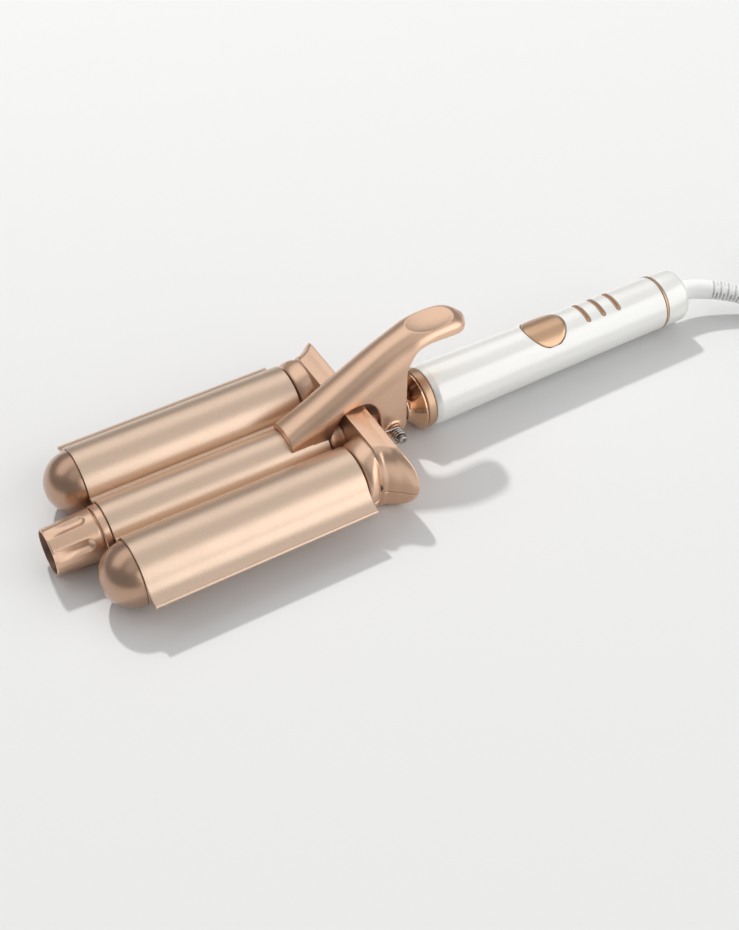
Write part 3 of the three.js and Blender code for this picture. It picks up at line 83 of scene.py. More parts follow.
# Bracket
BRACKET_FRONT = 124
BRACKET_REAR = 135
BRACKET_FRONT_HALF = 44.6
BRACKET_REAR_HALF = 56.3
BRACKET_WING_FLARE = 4.5
BRACKET_ROUND = 10
BRACKET_ROUND_GROWTH = 3.5
UPPER_SQUARENESS = (2.15, 1.5)
LOWER_SQUARENESS = (5, 1.8)
BRACKET_TOP = 36.8
BRACKET_BOTTOM = 0.4
BRACKET_CHANNEL = 1.5
SHOULDER_FRONT = 115.9
SPLIT_HEIGHT = 13
SPLIT_GAP = 0.3

# Lever and pivot
HANDLE_AXIS = 16.4
NECK_RADIUS = 8.2
NECK_BORE = 8.5
PIVOT_X = 152
PIVOT_Z = 13
LEVER_HALF = 11
LEVER_WALL = 1.8
LEVER_FRONT = 95
LEVER_REAR = 196.4
LEVER_WEB_REAR = 159.7
ARCH_RADIUS = 37.4
ARCH_TOP = 38.8
DISH_X = 177
DISH_DEPTH = 2.6
DISH_REACH = (32, 24, 14)
WASHER_THICKNESS = 0.8
SPRING_WIRE = 0.9
SPRING_RADIUS = 2.9
SPRING_TURNS = 3.5
SPRING_PITCH = 1.36
FIT_GAP = 0.3

# Handle
BELL_FRONT = 161.6
BELL_LENGTH = 7.9
BELL_RIM_RADIUS = 15.8
RING_FRONT = 169.85
RING_LENGTH = 4.9
RING_RADIUS = 15.9
HANDLE_FRONT = 175.1
HANDLE_LENGTH = 146
HANDLE_FRONT_RADIUS = 16.3
HANDLE_REAR_RADIUS = 14.8
HANDLE_BOW = 0.25
HANDLE_WALL = 2.2
HANDLE_CHAMFER = 3.2
HANDLE_REAR = HANDLE_FRONT + HANDLE_LENGTH
BUTTON_X = 249
BUTTON_RADIUS = 11.5
BUTTON_GAP = 0.45
BUTTON_FULLNESS = 0.92
WINDOW_PITCH = 9.7
WINDOW_CENTRES = [273.6 + k * WINDOW_PITCH for k in range(3)]
WINDOW_HALF_WIDTH = 1.15
WINDOW_HALF_LENGTH = 7.5
WINDOW_GAP = 0.25
OPENING_DEPTH = 1.9
END_CAP_REAR = 337.5
END_CAP_BORE = 11.3
END_CAP_FLOOR = 2.2

# Strain relief, cord and plug
RELIEF_RADIUS = 5.4
RELIEF_END_RADIUS = 4.6
CORD_RADIUS = 3
COIL_TURNS = 10
COIL_LAYERS = 4
COIL_PITCH = 6.75
COIL_REACH = COIL_TURNS / COIL_LAYERS * COIL_PITCH
COIL_MEAN_RADIUS = 34
COIL_CENTRE = (434, -66)
TIE_THICKNESS = 0.8
TIE_WIDTH = 12
TIE_ROOF = 2 * CORD_RADIUS + (COIL_LAYERS - 1) * COIL_PITCH + TIE_THICKNESS + 0.6
TAIL_LEAD = 2
TAIL_BEND = 28
TAIL_END = 6
PLUG_LENGTH = 36
PLUG_HALF_THICKNESS = 6.8
PLUG_COLLAR_DROP = 2.4
PLUG_AXIS = TIE_ROOF + TIE_THICKNESS + 0.3 + PLUG_HALF_THICKNESS
PIN_RADIUS = 2
PIN_LENGTH = 19
PIN_PITCH = 18.6

# Meshes
SIDES = {"far": 1, "near": -1}
ROUND_SIDES = 120
HANDLE_SIDES = 160
PIVOT_SIDES = 64
VOXEL = 0.34


def placed(points):
    """Points in millimetres from the ball caps' centres to metres in the shared frame."""
    moved = np.array(points, float).reshape(-1, 3)
    moved[:, 0] -= MIDDLE_X
    return moved * MM


def linked(name, data):
    thing = bpy.data.objects.new(name, data)
    bpy.context.scene.collection.objects.link(thing)
    return thing


# Camera: it stands where the photograph was taken from
def make_camera():
    azimuth, elevation, roll = radians(30.23), radians(45.86), radians(-0.09)
    level = cos(elevation)
    forward = Vector((sin(azimuth) * level, cos(azimuth) * level, -sin(elevation)))
    data = bpy.data.cameras.new("camera")
    data.sensor_width = 36
    data.lens = 56.86
    data.clip_start = 0.01
    data.clip_end = 50
    camera = linked("camera", data)
    camera.rotation_mode = "QUATERNION"
    turn = forward.to_track_quat("-Z", "Y").to_matrix() @ Matrix.Rotation(roll, 3, "Z")
    camera.rotation_quaternion = turn.to_quaternion()
    camera.location = Vector((-278.45, -460.0, 530.6)) * MM
    bpy.context.scene.camera = camera


# Materials
def new_material(name, colour, roughness, metallic):
    material = bpy.data.materials.new(name)
    material.use_nodes = True
    shader = material.node_tree.nodes["Principled BSDF"]
    shader.inputs["Base Color"].default_value = (*colour, 1)
    shader.inputs["Roughness"].default_value = roughness
    shader.inputs["Metallic"].default_value = metallic
    return material, shader


def add_node(tree, kind, values, source=None, into=None):
    """Shader node with its values, and a source for one of its inputs."""
    node = tree.nodes.new(f"ShaderNode{kind}")
    for name, value in values.items():
        node.inputs[name].default_value = value
    if source:
        tree.links.new(source, node.inputs[into])
    return node


def noise(tree, scale, detail, stretch=1):
    where = add_node(tree, "TexCoord", {})
    mapping = add_node(tree, "Mapping", {"Scale": (stretch, 1, 1)}, where.outputs["Object"], "Vector")
    grain = add_node(tree, "TexNoise", {"Scale": scale, "Detail": detail}, mapping.outputs["Vector"], "Vector")
    return grain.outputs["Fac"]


def grained(name, colour, roughness, metallic, grain, tint, height=1e-5, spread=0.05, coat=None, stretch=1):
    """Surface with fine grain in its colour, gloss and relief, and a coat of some weight and roughness."""
    material, shader = new_material(name, colour, roughness, metallic)
    tree = material.node_tree
    fine, wide = noise(tree, grain, 4, stretch), noise(tree, 60, 2)
    tones = add_node(tree, "ValToRGB", {}, fine, "Fac")
    for stop, position, factor in zip(tones.color_ramp.elements, (0.3, 0.7), (1 - tint, 1 + tint)):
        stop.position = position
        stop.color = (*(min(1, channel * factor) for channel in colour), 1)
    gloss = add_node(tree, "MapRange", {"To Min": roughness - spread, "To Max": roughness + spread}, wide, "Value")
    relief = add_node(tree, "Bump", {"Strength": 0.35, "Distance": height}, fine, "Height")
    tree.links.new(tones.outputs["Color"], shader.inputs["Base Color"])
    tree.links.new(gloss.outputs["Result"], shader.inputs["Roughness"])
    tree.links.new(relief.outputs["Normal"], shader.inputs["Normal"])
    if coat:
        shader.inputs["Coat Weight"].default_value, shader.inputs["Coat Roughness"].default_value = coat
    return material


# Each row: name, colour, roughness, metallic share, the grain's scale, tint and height in metres, the gloss's spread,
# the coat's weight and roughness, the grain's stretch along X
FINISHES = {
    "plate": ("champagne_plate", (0.765, 0.575, 0.44), 0.38, 0.92, 2600, 0.05, 5e-6, 0.05, (0.25, 0.3), 0.35),
    "barrel": ("rose_gold_barrel", (0.60, 0.41, 0.30), 0.33, 0.9, 900, 0.03, 5e-6, 0.05, None, 0.08),
    "moulded": ("rose_gold_moulded", (0.80, 0.54, 0.385), 0.34, 0.92, 3200, 0.10, 7e-6, 0.03, (0.2, 0.25)),
    # ball: a darker copy of the moulded rose gold, painted shade on the ball caps
    "ball": ("rose_gold_ball", (0.50, 0.31, 0.21), 0.30, 0.9, 3200, 0.10, 7e-6, 0.03, (0.9, 0.28)),
    # bore: a darker brown for the inner wall of the tip's open front, painted shade in the hollow
    "bore": ("unpainted_bore", (0.22, 0.13, 0.09), 0.45, 0.6, 2400, 0.08, 8e-6),
    "ring": ("rose_gold_ring", (0.57, 0.375, 0.25), 0.36, 0.95, 1500, 0.04, 4e-6),
    "button": ("rose_gold_button", (0.70, 0.45, 0.285), 0.34, 0.9, 1800, 0.02, 1e-6, 0.02, (0.2, 0.1)),
    "window": ("tan_window", (0.48, 0.29, 0.18), 0.42, 0.35, 2500, 0.05, 4e-6),
    "mirror": ("rose_gold_mirror", (0.70, 0.46, 0.305), 0.15, 1.0, 300, 0.02, 1e-6, 0.02),
    "pearl": ("pearl_plastic", (0.85, 0.845, 0.82), 0.30, 0.26, 3000, 0.03, 2e-6, 0.04, (0.5, 0.16)),
    "rubber": ("white_rubber", (0.85, 0.85, 0.84), 0.5, 0.0, 2600, 0.02, 8e-6),
    "steel": ("bright_steel", (0.46, 0.45, 0.44), 0.16, 1.0, 1200, 0.03, 3e-6),
    "neck": ("neck_steel", (0.50, 0.36, 0.28), 0.34, 0.9, 900, 0.05, 5e-6),
    "aluminium": ("spreader_aluminium", (0.75, 0.76, 0.77), 0.42, 1.0, 700, 0.04, 1e-5, 0.05, None, 0.05),
    "ceramic": ("heater_ceramic", (0.82, 0.79, 0.73), 0.7, 0.0, 1600, 0.05),
    "resin": ("dark_resin", (0.05, 0.042, 0.038), 0.55, 0.0, 2000, 0.12),
    "board": ("circuit_board_green", (0.03, 0.16, 0.07), 0.45, 0.0, 800, 0.15),
    "lamp": ("clear_lamp", (0.72, 0.68, 0.60), 0.2, 0.0, 900, 0.03),
    "tie": ("soft_tie", (0.10, 0.095, 0.09), 0.75, 0.0, 3000, 0.2, 3e-5),
}
# Nodes that keep their own solids take a finish by the start of their names
NODE_FINISHES = {
    "aluminium": "heat_spreader", "ceramic": ("flat_heater", "thermal_fuse"), "neck": "neck_tube",
    "resin": ("barrel_insulator", "heater_leads", "power_switch", "inner_tray", "cord_clamp"), "rubber": "inner_cord",
    "steel": ("foot_rivet", "bracket_screw", "button_spring"), "lamp": "indicator_strip", "board": "circuit_board",
}


def finished(piece, finish):
    piece.data.materials.clear()
    piece.data.materials.append(materials[finish])


def finish_nodes():
    for finish, starts in NODE_FINISHES.items():
        for name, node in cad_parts.items():
            if name.startswith(starts):
                finished(node, finish)


def declared(piece, finish, body, *nodes):
    """Gives a piece its finish and body, and hides the nodes it replaces."""
    finished(piece, finish)
    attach(piece, body)
    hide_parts(*nodes)
    return piece


# Mesh helpers
def scratch(name, points, faces):
    """Object of a closed mesh in millimetres, with its faces turned outwards and double corners merged."""
    mesh = bpy.data.meshes.new(name)
    mesh.from_pydata([tuple(map(float, p)) for p in points], [], [tuple(map(int, f)) for f in faces])
    made = bmesh.new()
    made.from_mesh(mesh)
    bmesh.ops.remove_doubles(made, verts=made.verts, dist=1e-3)
    bmesh.ops.dissolve_degenerate(made, edges=made.edges, dist=1e-4)
    bmesh.ops.recalc_face_normals(made, faces=made.faces)
    made.to_mesh(mesh)
    made.free()
    return linked(name, mesh)


def modify(piece, kind, **settings):
    modifier = piece.modifiers.new(kind.lower(), kind)
    for name, value in settings.items():
        setattr(modifier, name, value)


def applied(piece):
    """The piece with its modifiers made part of its mesh."""
    graph = bpy.context.evaluated_depsgraph_get()
    mesh = bpy.data.meshes.new_from_object(piece.evaluated_get(graph))
    piece.modifiers.clear()
    piece.data = mesh
    return piece


def combined(piece, others, operation):
    for other in others:
        modify(piece, "BOOLEAN", object=other, operation=operation, solver="EXACT")
        applied(piece)
        bpy.data.objects.remove(other)
    return piece


def softened(piece, rounds, blend_front=None):
    """Even fine mesh with every edge slightly rounded, and more so in front of a station if one is given."""
    modify(piece, "REMESH", mode="VOXEL", voxel_size=VOXEL, use_smooth_shade=True)
    applied(piece)
    if blend_front is not None:
        group = piece.vertex_groups.new(name="blend")
        group.add([v.index for v in piece.data.vertices if v.co.x < blend_front], 1.0, "REPLACE")
        modify(piece, "SMOOTH", factor=0.5, iterations=14, vertex_group=group.name)
    modify(piece, "SMOOTH", factor=0.5, iterations=rounds)
    return applied(piece)


def kept(piece, finish, angle=35, body="root", node=None):
    """Puts a finished piece in its place: metres, and shading with edges sharp from an angle.

    The piece stands for the node whose name it has, with a word added, unless a node is given.
    """
    mesh = piece.data
    mesh.transform(Matrix.Translation((-MIDDLE_X, 0, 0)))
    mesh.transform(Matrix.Scale(MM, 4))
    mesh.shade_smooth()
    if angle:
        mesh.set_sharp_from_angle(angle=radians(angle))
    return declared(piece, finish, body, node or piece.name.rsplit("_", 1)[0])


def grid_faces(rows, columns, wrap_rows=True, wrap_columns=True):
    faces = []
    for i in range(rows if wrap_rows else rows - 1):
        for j in range(columns if wrap_columns else columns - 1):
            below, beside = (i + 1) % rows, (j + 1) % columns
            faces.append((i * columns + j, i * columns + beside, below * columns + beside, below * columns + j))
    return faces


def circle(count):
    return [TAU * k / count for k in range(count)]


def fuller(value, power):
    """Sine or cosine raised to a power with its sign kept, for outlines between a circle and a square."""
    return copysign(abs(value) ** power, value)


def rounded(corners, steps):
    """Closed outline from (u, v, reach) corners: each corner is eased over its reach."""
    outline = []
    for i, (u, v, reach) in enumerate(corners):
        corner = Vector((u, v))
        before = Vector(corners[i - 1][:2]) - corner
        after = Vector(corners[(i + 1) % len(corners)][:2]) - corner
        reach = min(reach, 0.48 * before.length, 0.48 * after.length)
        if reach <= 0:
            outline.append((u, v))
            continue
        start, end = corner + before.normalized() * reach, corner + after.normalized() * reach
        for k in range(steps + 1):
            t = k / steps
            point = start * (1 - t) ** 2 + corner * (2 * t * (1 - t)) + end * t ** 2
            outline.append((point.x, point.y))
    return outline


def band(low, high, inner, outer, eases=(0, 0, 0, 0)):
    """Corners of a ring between two stations and two radii, from the inner one at its start."""
    return [*zip((low, low, high, high), (inner, outer, outer, inner), eases)]


def turned(name, corners, z, y=0, sides=ROUND_SIDES, steps=4):
    """Solid turned about a line along X, from (station, radius, easing) corners."""
    outline = rounded(corners, steps)
    points = [(x, y + r * sin(a), z + r * cos(a)) for a in circle(sides) for x, r in outline]
    return scratch(name, points, grid_faces(sides, len(outline)))


def turned_across(name, corners):
    """Solid turned about the lever's pivot line, from (y, radius, easing) corners."""
    outline = rounded(corners, 3)
    angles = circle(PIVOT_SIDES)
    points = [(PIVOT_X + r * cos(a), y, PIVOT_Z + r * sin(a)) for a in angles for y, r in outline]
    return scratch(name, points, grid_faces(PIVOT_SIDES, len(outline)))


def skin(rings):
    """Points and faces of a tube through rings of equally many points, and where its first and last ring start."""
    count = len(rings[0])
    return [p for ring in rings for p in ring], grid_faces(len(rings), count, False), (0, (len(rings) - 1) * count)


def lofted(name, rings):
    """Closed skin through rings, with each end closed by a fan."""
    count = len(rings[0])
    points, faces, ends = skin(rings)
    for ring, base in zip((rings[0], rings[-1]), ends):
        points.append(np.mean(np.array(ring), axis=0))
        hub = len(points) - 1
        faces += [(hub, base + j, base + (j + 1) % count) for j in range(count)]
    return scratch(name, points, faces)


def drawn_across(name, outline, half):
    """Outline in the XZ plane drawn out to both sides."""
    points = [(x, y, z) for y in (-half, half) for x, z in outline]
    count = len(outline)
    faces = [(j, (j + 1) % count, count + (j + 1) % count, count + j) for j in range(count)]
    return scratch(name, points, [*faces, range(count), range(count, 2 * count)])


def block(front, rear, half, low, high):
    return drawn_across("block", [(front, low), (rear, low), (rear, high), (front, high)], half)


def along(pairs, x):
    """A value that runs smoothly through (station, value) pairs."""
    if x <= pairs[0][0]:
        return pairs[0][1]
    if x >= pairs[-1][0]:
        return pairs[-1][1]
    i = next(k for k, pair in enumerate(pairs) if pair[0] > x) - 1
    (x0, v0), (x1, v1) = pairs[i], pairs[i + 1]
    before = pairs[i - 1] if i else pairs[i]
    after = pairs[i + 2] if i + 2 < len(pairs) else pairs[i + 1]
    slope0 = (v1 - before[1]) / (x1 - before[0])
    slope1 = (after[1] - v0) / (after[0] - x0)
    t, span = (x - x0) / (x1 - x0), x1 - x0
    ends = (2 * t ** 3 - 3 * t ** 2 + 1) * v0 + (3 * t ** 2 - 2 * t ** 3) * v1
    return ends + (t ** 3 - 2 * t ** 2 + t) * span * slope0 + (t ** 3 - t ** 2) * span * slope1


def smoothstep(x, low, high):
    t = min(1, max(0, (x - low) / (high - low)))
    return t * t * (3 - 2 * t)


def arc(cx, cz, radius, start, end, steps):
    angles = [start + (end - start) * k / steps for k in range(steps + 1)]
    return [(cx + radius * cos(a), cz + radius * sin(a)) for a in angles]


def bezier(*ends, steps=14):
    a, b, c, d = (Vector(p) for p in ends)
    points = []
    for k in range(1, steps + 1):
        t = k / steps
        at = a * (1 - t) ** 3 + b * 3 * t * (1 - t) ** 2 + c * 3 * t * t * (1 - t) + d * t ** 3
        points.append((at.x, at.y))
    return points


def wire(name, path, radius, resolution):
    """Round wire along a line of points in millimetres."""
    data = bpy.data.curves.new(name, "CURVE")
    data.dimensions = "3D"
    data.bevel_depth = radius * MM
    data.bevel_resolution = resolution
    data.use_fill_caps = True
    spline = data.splines.new("POLY")
    spline.points.add(len(path) - 1)
    for point, spot in zip(spline.points, placed(path)):
        point.co = (*spot, 1)
    return linked(name, data)


# Cord: out of the end cap, down to the floor and into the coil
RELIEF_ROUTE = [
    (330.2, 0, HANDLE_AXIS), (337, 0, HANDLE_AXIS), (343, -0.3, 16.3), (349, -1.5, 15.9),
    (355, -3.9, 15.1), (361, -7.1, 14.2), (367, -10.9, 13.1), (373, -15.3, 11.6), (378.8, -20.2, 10),
    (384, -25.2, 8.4),
]
CORD_ROUTE = [
    (387.6, -29.4, 7.2), (390, -34.2, 6.1), (391.5, -39.4, 5.1), (392, -45, 4.4), (391.6, -50.6, 4.15),
]


def smooth_route(points, per_span=10):
    """Centripetal curve through a route's points."""
    route = np.array(points, float)
    route = np.vstack([2 * route[0] - route[1], route, 2 * route[-1] - route[-2]])
    curve = [route[1]]
    for p0, p1, p2, p3 in zip(route, route[1:], route[2:], route[3:]):
        d0, d1, d2 = (sqrt(np.linalg.norm(b - a)) for a, b in ((p0, p1), (p1, p2), (p2, p3)))
        t1 = ((p1 - p0) / d0 - (p2 - p0) / (d0 + d1) + (p2 - p1) / d1) * d1
        t2 = ((p2 - p1) / d1 - (p3 - p1) / (d1 + d2) + (p3 - p2) / d2) * d1
        for k in range(1, per_span + 1):
            t = k / per_span
            curve.append(p1 + t1 * t + (3 * (p2 - p1) - 2 * t1 - t2) * t ** 2 + (2 * (p1 - p2) + t1 + t2) * t ** 3)
    return np.array(curve)


def swung(centre, u, v, angle):
    """Place of a point, or of arrays of them, in axes turned by an angle about a centre."""
    c, s = cos(angle), sin(angle)
    return centre[0] + u * c - v * s, centre[1] + u * s + v * c


def coil_path(steps_per_turn=36):
    per_layer = COIL_TURNS / COIL_LAYERS
    base = CORD_RADIUS + TIE_THICKNESS + FIT_GAP
    path = []
    for i in range(COIL_TURNS * steps_per_turn + 1):
        turn = i / steps_per_turn
        layer = min(int(turn / per_layer), COIL_LAYERS - 1)
        share = turn / per_layer - layer
        inwards = 1 - share if layer % 2 else share
        radius = COIL_MEAN_RADIUS + COIL_REACH / 2 - COIL_REACH * inwards
        climb = sum(smoothstep(turn, k * per_layer - 0.25, k * per_layer + 0.25) for k in range(1, COIL_LAYERS))
        path.append((*swung(COIL_CENTRE, radius, 0, pi + turn * TAU), base + COIL_PITCH * climb))
    return np.array(path)


def unit(vector):
    return vector / np.linalg.norm(vector)


def tail_route(last, out):
    """The tail bends round on top of the coil and climbs to the plug there."""
    start = last + out * 2 * CORD_RADIUS
    inwards = np.array((-out[1], out[0], 0))
    rise = PLUG_AXIS - PLUG_COLLAR_DROP - start[2]
    route = [last, start]
    steps = 4
    for k in range(steps + 1):
        angle = pi / 2 * k / steps
        ahead, aside = TAIL_LEAD + TAIL_BEND * sin(angle), TAIL_BEND * (1 - cos(angle))
        point = start + out * ahead + inwards * aside
        point[2] += rise * smoothstep(k, -0.25, steps)
        route.append(point)
    return [*route, route[-1] + inwards * TAIL_END]


def cord_path():
    """The whole cord's line in millimetres: out of the end cap, through the relief, the coil and to the plug."""
    coil = coil_path()
    into, out = unit(coil[0] - coil[1]), unit(coil[-1] - coil[-2])
    landing = [coil[0] + into * (2 * CORD_RADIUS + 4), coil[0] + into * CORD_RADIUS, coil[0]]
    lead = smooth_route([*RELIEF_ROUTE[1:], *CORD_ROUTE, *landing])
    return np.vstack([lead, coil[1:-1], smooth_route(tail_route(coil[-1], out))])


def tube_rings(path, radius_at, sides):
    """Rings of points round a path, from a radius that may vary along it and round it."""
    rings = []
    for i, point in enumerate(path):
        run = unit(path[min(i + 1, len(path) - 1)] - path[max(i - 1, 0)])
        side = unit(np.cross(run, (0, 0, 1)))
        up = np.cross(side, run)
        rings.append([point + (side * cos(a) + up * sin(a)) * radius_at(i, a) for a in circle(sides)])
    return rings


def spaced(path, gap):
    """The same line with points an even distance apart."""
    steps = np.linalg.norm(np.diff(path, axis=0), axis=1)
    at = np.concatenate([[0], np.cumsum(steps)])
    where = np.linspace(0, at[-1], int(at[-1] / gap) + 1)
    return np.column_stack([np.interp(where, at, path[:, k]) for k in range(3)])


def make_relief():
    """Sleeve with staggered slots in its outer half, tapering towards the cord."""
    gap = 0.14
    path = spaced(smooth_route(RELIEF_ROUTE), gap)
    total = (len(path) - 1) * gap
    slot_start, slot_pitch, slot_half, slot_depth = 30.5, 2.1, 0.55, 3.0

    def radius_at(i, angle):
        s = i * gap
        taper = RELIEF_RADIUS + (RELIEF_END_RADIUS - RELIEF_RADIUS) * smoothstep(s, 14, total)
        edge = min(1, (total - s) / 1.2)
        taper -= 0.9 * (1 - sqrt(max(0, 1 - (1 - edge) ** 2)))
        number = round((s - slot_start) / slot_pitch)
        if number < 0 or s > total - 2.5:
            return taper
        off = abs(s - slot_start - number * slot_pitch)
        turned_by = (pi / 2) * (number % 2)
        wide = 1 - smoothstep(abs(cos(angle - turned_by + pi / 4)), 0.86, 0.94)
        return taper - slot_depth * wide * (1 - smoothstep(off, slot_half - 0.1, slot_half + 0.1))

    sleeve = lofted("strain_relief_sleeve", tube_rings(path, radius_at, 72))
    return kept(sleeve, "rubber", 40)


def strap_loop(inner, outer, low, high, radius):
    loop = []
    corners = [(outer - radius, low + radius, -90), (outer - radius, high - radius, 0),
               (inner + radius, high - radius, 90), (inner + radius, low + radius, 180)]
    for u, w, start in corners:
        loop += arc(u, w, radius, radians(start), radians(start + 90), 7)
    return loop


def make_tie(number):
    """Soft strap round the coil's turns, with slightly rounded edges."""
    inner = COIL_MEAN_RADIUS - COIL_REACH / 2 - CORD_RADIUS - FIT_GAP - 0.2
    outer = COIL_MEAN_RADIUS + COIL_REACH / 2 + CORD_RADIUS + FIT_GAP + 0.2
    inside = strap_loop(inner, outer, TIE_THICKNESS, TIE_ROOF, 2.6)
    outside = strap_loop(inner - TIE_THICKNESS, outer + TIE_THICKNESS, 0, TIE_ROOF + TIE_THICKNESS, 3.4)
    half, soft = TIE_WIDTH / 2, 0.25
    ease = soft / TIE_THICKNESS
    section = [(0, -half + soft), (ease, -half), (1 - ease, -half), (1, -half + soft),
               (1, half - soft), (1 - ease, half), (ease, half), (0, half - soft)]
    points = []
    for (iu, iw), (ou, ow) in zip(inside, outside):
        for share, across in section:
            u, w = iu + (ou - iu) * share, iw + (ow - iw) * share
            points.append((*swung(COIL_CENTRE, u, across, pi * (number - 0.5)), w))
    tie = scratch(f"coil_tie_{number}", points, grid_faces(len(inside), len(section)))
    return kept(tie, "tie", 50, node=f"cord_tie_{number}")


def at_plug(points, start, angle):
    u, v, w = np.array(points, float).T
    return np.column_stack([*swung(start, u, v, angle), w])


def make_plug(path):
    """Flat two-pin plug: a ribbed collar that widens into the body."""
    run = unit((path[-1] - path[-3]) * (1, 1, 0))
    start, angle = path[-1] + run * FIT_GAP, atan2(run[1], run[0])
    halves = [(0, 3.6), (9, 4.2), (12, 8.5), (22, 15.6), (34, 17.4), (36, 16.7)]
    rises = [(0, 3.3), (9, 3.7), (12, 5.4), (22, 6.4), (34, PLUG_HALF_THICKNESS), (36, 6.3)]
    lifts = [(0, -PLUG_COLLAR_DROP), (9, -PLUG_COLLAR_DROP), (13, 0), (36, 0)]
    rings, steps, power = [], 72, 0.7
    for k in range(steps + 1):
        x = PLUG_LENGTH * k / steps
        ease = 0.9 if k in (0, steps) else 1
        groove = 0.35 if x < 8 and int(x / 0.9) % 2 else 0
        half, rise = (along(halves, x) - groove) * ease, (along(rises, x) - groove) * ease
        middle = PLUG_AXIS + along(lifts, x)
        ring = [(x, half * fuller(cos(a), power), middle + rise * fuller(sin(a), power)) for a in circle(64)]
        rings.append(at_plug(ring, start, angle))
    body = kept(lofted("plug", rings), "rubber", node="plug_body")
    return [body, *(make_pin(number, side * PIN_PITCH / 2, start, angle) for number, side in ((1, 1), (2, -1)))]


def make_pin(number, across, start, angle):
    neck, sides = PIN_RADIUS - 0.12, 32
    outline = [(0, 0), (0, PIN_RADIUS), (8, PIN_RADIUS), (8.2, neck), (PIN_LENGTH - 1.6, neck),
               (PIN_LENGTH - 0.5, PIN_RADIUS - 0.7), (PIN_LENGTH, 0.5), (PIN_LENGTH, 0)]
    points = [(PLUG_LENGTH + FIT_GAP + x, across + r * cos(a), PLUG_AXIS + r * sin(a))
              for a in circle(sides) for x, r in outline]
    pin = scratch(f"pin_{number}", at_plug(points, start, angle), grid_faces(sides, len(outline), True, False))
    return kept(pin, "steel", 30, node=f"plug_pin_{number}")


def make_cord():
    path = cord_path()
    cord = declared(wire("mains_cord", path, CORD_RADIUS, 5), "rubber", "root", "cord_lead", "cord_coil", "cord_tail")
    spots = placed(path)
    relief = make_relief()
    ties = [make_tie(number) for number in (1, 2)]
    plug = make_plug(path)


# Barrels and tips
def make_barrels():
    outer = [(name, side * OUTER_PITCH, OUTER_RADIUS, OUTER_RADIUS) for name, side in SIDES.items()]
    for name, y, z, radius in (*outer, ("middle", 0, MIDDLE_AXIS, MIDDLE_RADIUS)):
        corners = band(0, BARREL_LENGTH, radius - BARREL_WALL, radius, (0.2, 0.3, 0.3, 0.2))
        kept(turned(f"barrel_{name}_tube", corners, z, y), "barrel")


def make_ball_caps():
    bore = OUTER_RADIUS - BARREL_WALL - FIT_GAP
    corners = [(x, r, 0) for x, r in arc(-FIT_GAP, 0, OUTER_RADIUS, pi, pi / 2, 24)]
    corners += [(-FIT_GAP, bore, 0), (8, bore, 0.4), (8, 0, 0)]
    for name, side in SIDES.items():
        # The ball caps take the darker copy of the rose gold: painted shade
        kept(turned(f"ball_cap_{name}_dome", corners, OUTER_RADIUS, side * OUTER_PITCH), "ball")


def recess_depth(x, across):
    """Depth of one finger recess: round at its rear end and running out at the open end of the tip."""
    rear = TIP_REAR - 3 - RECESS_RADIUS
    fade = 1 - 0.75 * smoothstep(rear - x, 4, 17)
    away = hypot(max(0, x - rear), across)
    depth = sqrt(max(0, RECESS_RADIUS ** 2 - away ** 2)) - (RECESS_RADIUS - RECESS_DEPTH)
    return max(0, depth) * fade


def make_cool_tip():
    """Hollow tapered grip: a fine skin with the recesses pressed into it, an open front and a spigot."""
    sides, steps = 360, 110
    front, rear = TIP_FRONT + 0.6, TIP_REAR - 0.7
    bore = TIP_END_RADIUS - TIP_WALL
    outer = [(front + (rear - front) * i / steps, TIP_END_RADIUS + (TIP_BASE_RADIUS - TIP_END_RADIUS) * i / steps)
             for i in range(steps + 1)]
    eased = ((0.5, 1.15), (0.12, 1.0), (0, 0.85), (0, 0.6), (0.2, 0.25))
    lip = [(TIP_FRONT + 3.4, bore), *((TIP_FRONT + ahead, TIP_END_RADIUS - under) for ahead, under in eased)]
    back = [(TIP_REAR - 0.2, TIP_BASE_RADIUS - 0.2), (TIP_REAR, TIP_BASE_RADIUS - 0.6), (TIP_REAR, SPIGOT_RADIUS),
            (8, SPIGOT_RADIUS), (8, 0), (TIP_REAR - 3, 0), (TIP_REAR - 3, bore + 1.1)]
    outline = [*lip, *outer, *back]
    points = []
    for angle in circle(sides):
        share = (angle / TAU * TIP_RECESSES) % 1
        for i, (x, radius) in enumerate(outline):
            if len(lip) <= i < len(lip) + len(outer):
                across = (min(share, 1 - share)) * TAU / TIP_RECESSES * radius
                radius -= recess_depth(x, across)
            points.append((x, radius * sin(angle), MIDDLE_AXIS + radius * cos(angle)))
    tip = kept(scratch("cool_tip_grip", points, grid_faces(sides, len(outline))), "moulded", 50)
    # Faces inside the open front take the darker brown: painted shade in the hollow
    tip.data.materials.append(materials["bore"])
    spigot = Vector(placed([(TIP_REAR - 2.9, 0, MIDDLE_AXIS)])[0])
    for face in tip.data.polygons:
        away = face.center - spigot
        inside = away.x < 0 and hypot(away.y, away.z) < (TIP_END_RADIUS - 0.9) * MM
        face.material_index = int(inside)
    corners = band(-4, -FIT_GAP, MIDDLE_RADIUS - BARREL_WALL, COLLAR_RADIUS, (0.1, 0.7, 0.3, 0.1))
    kept(turned("tip_collar_ring", corners, MIDDLE_AXIS), "moulded")


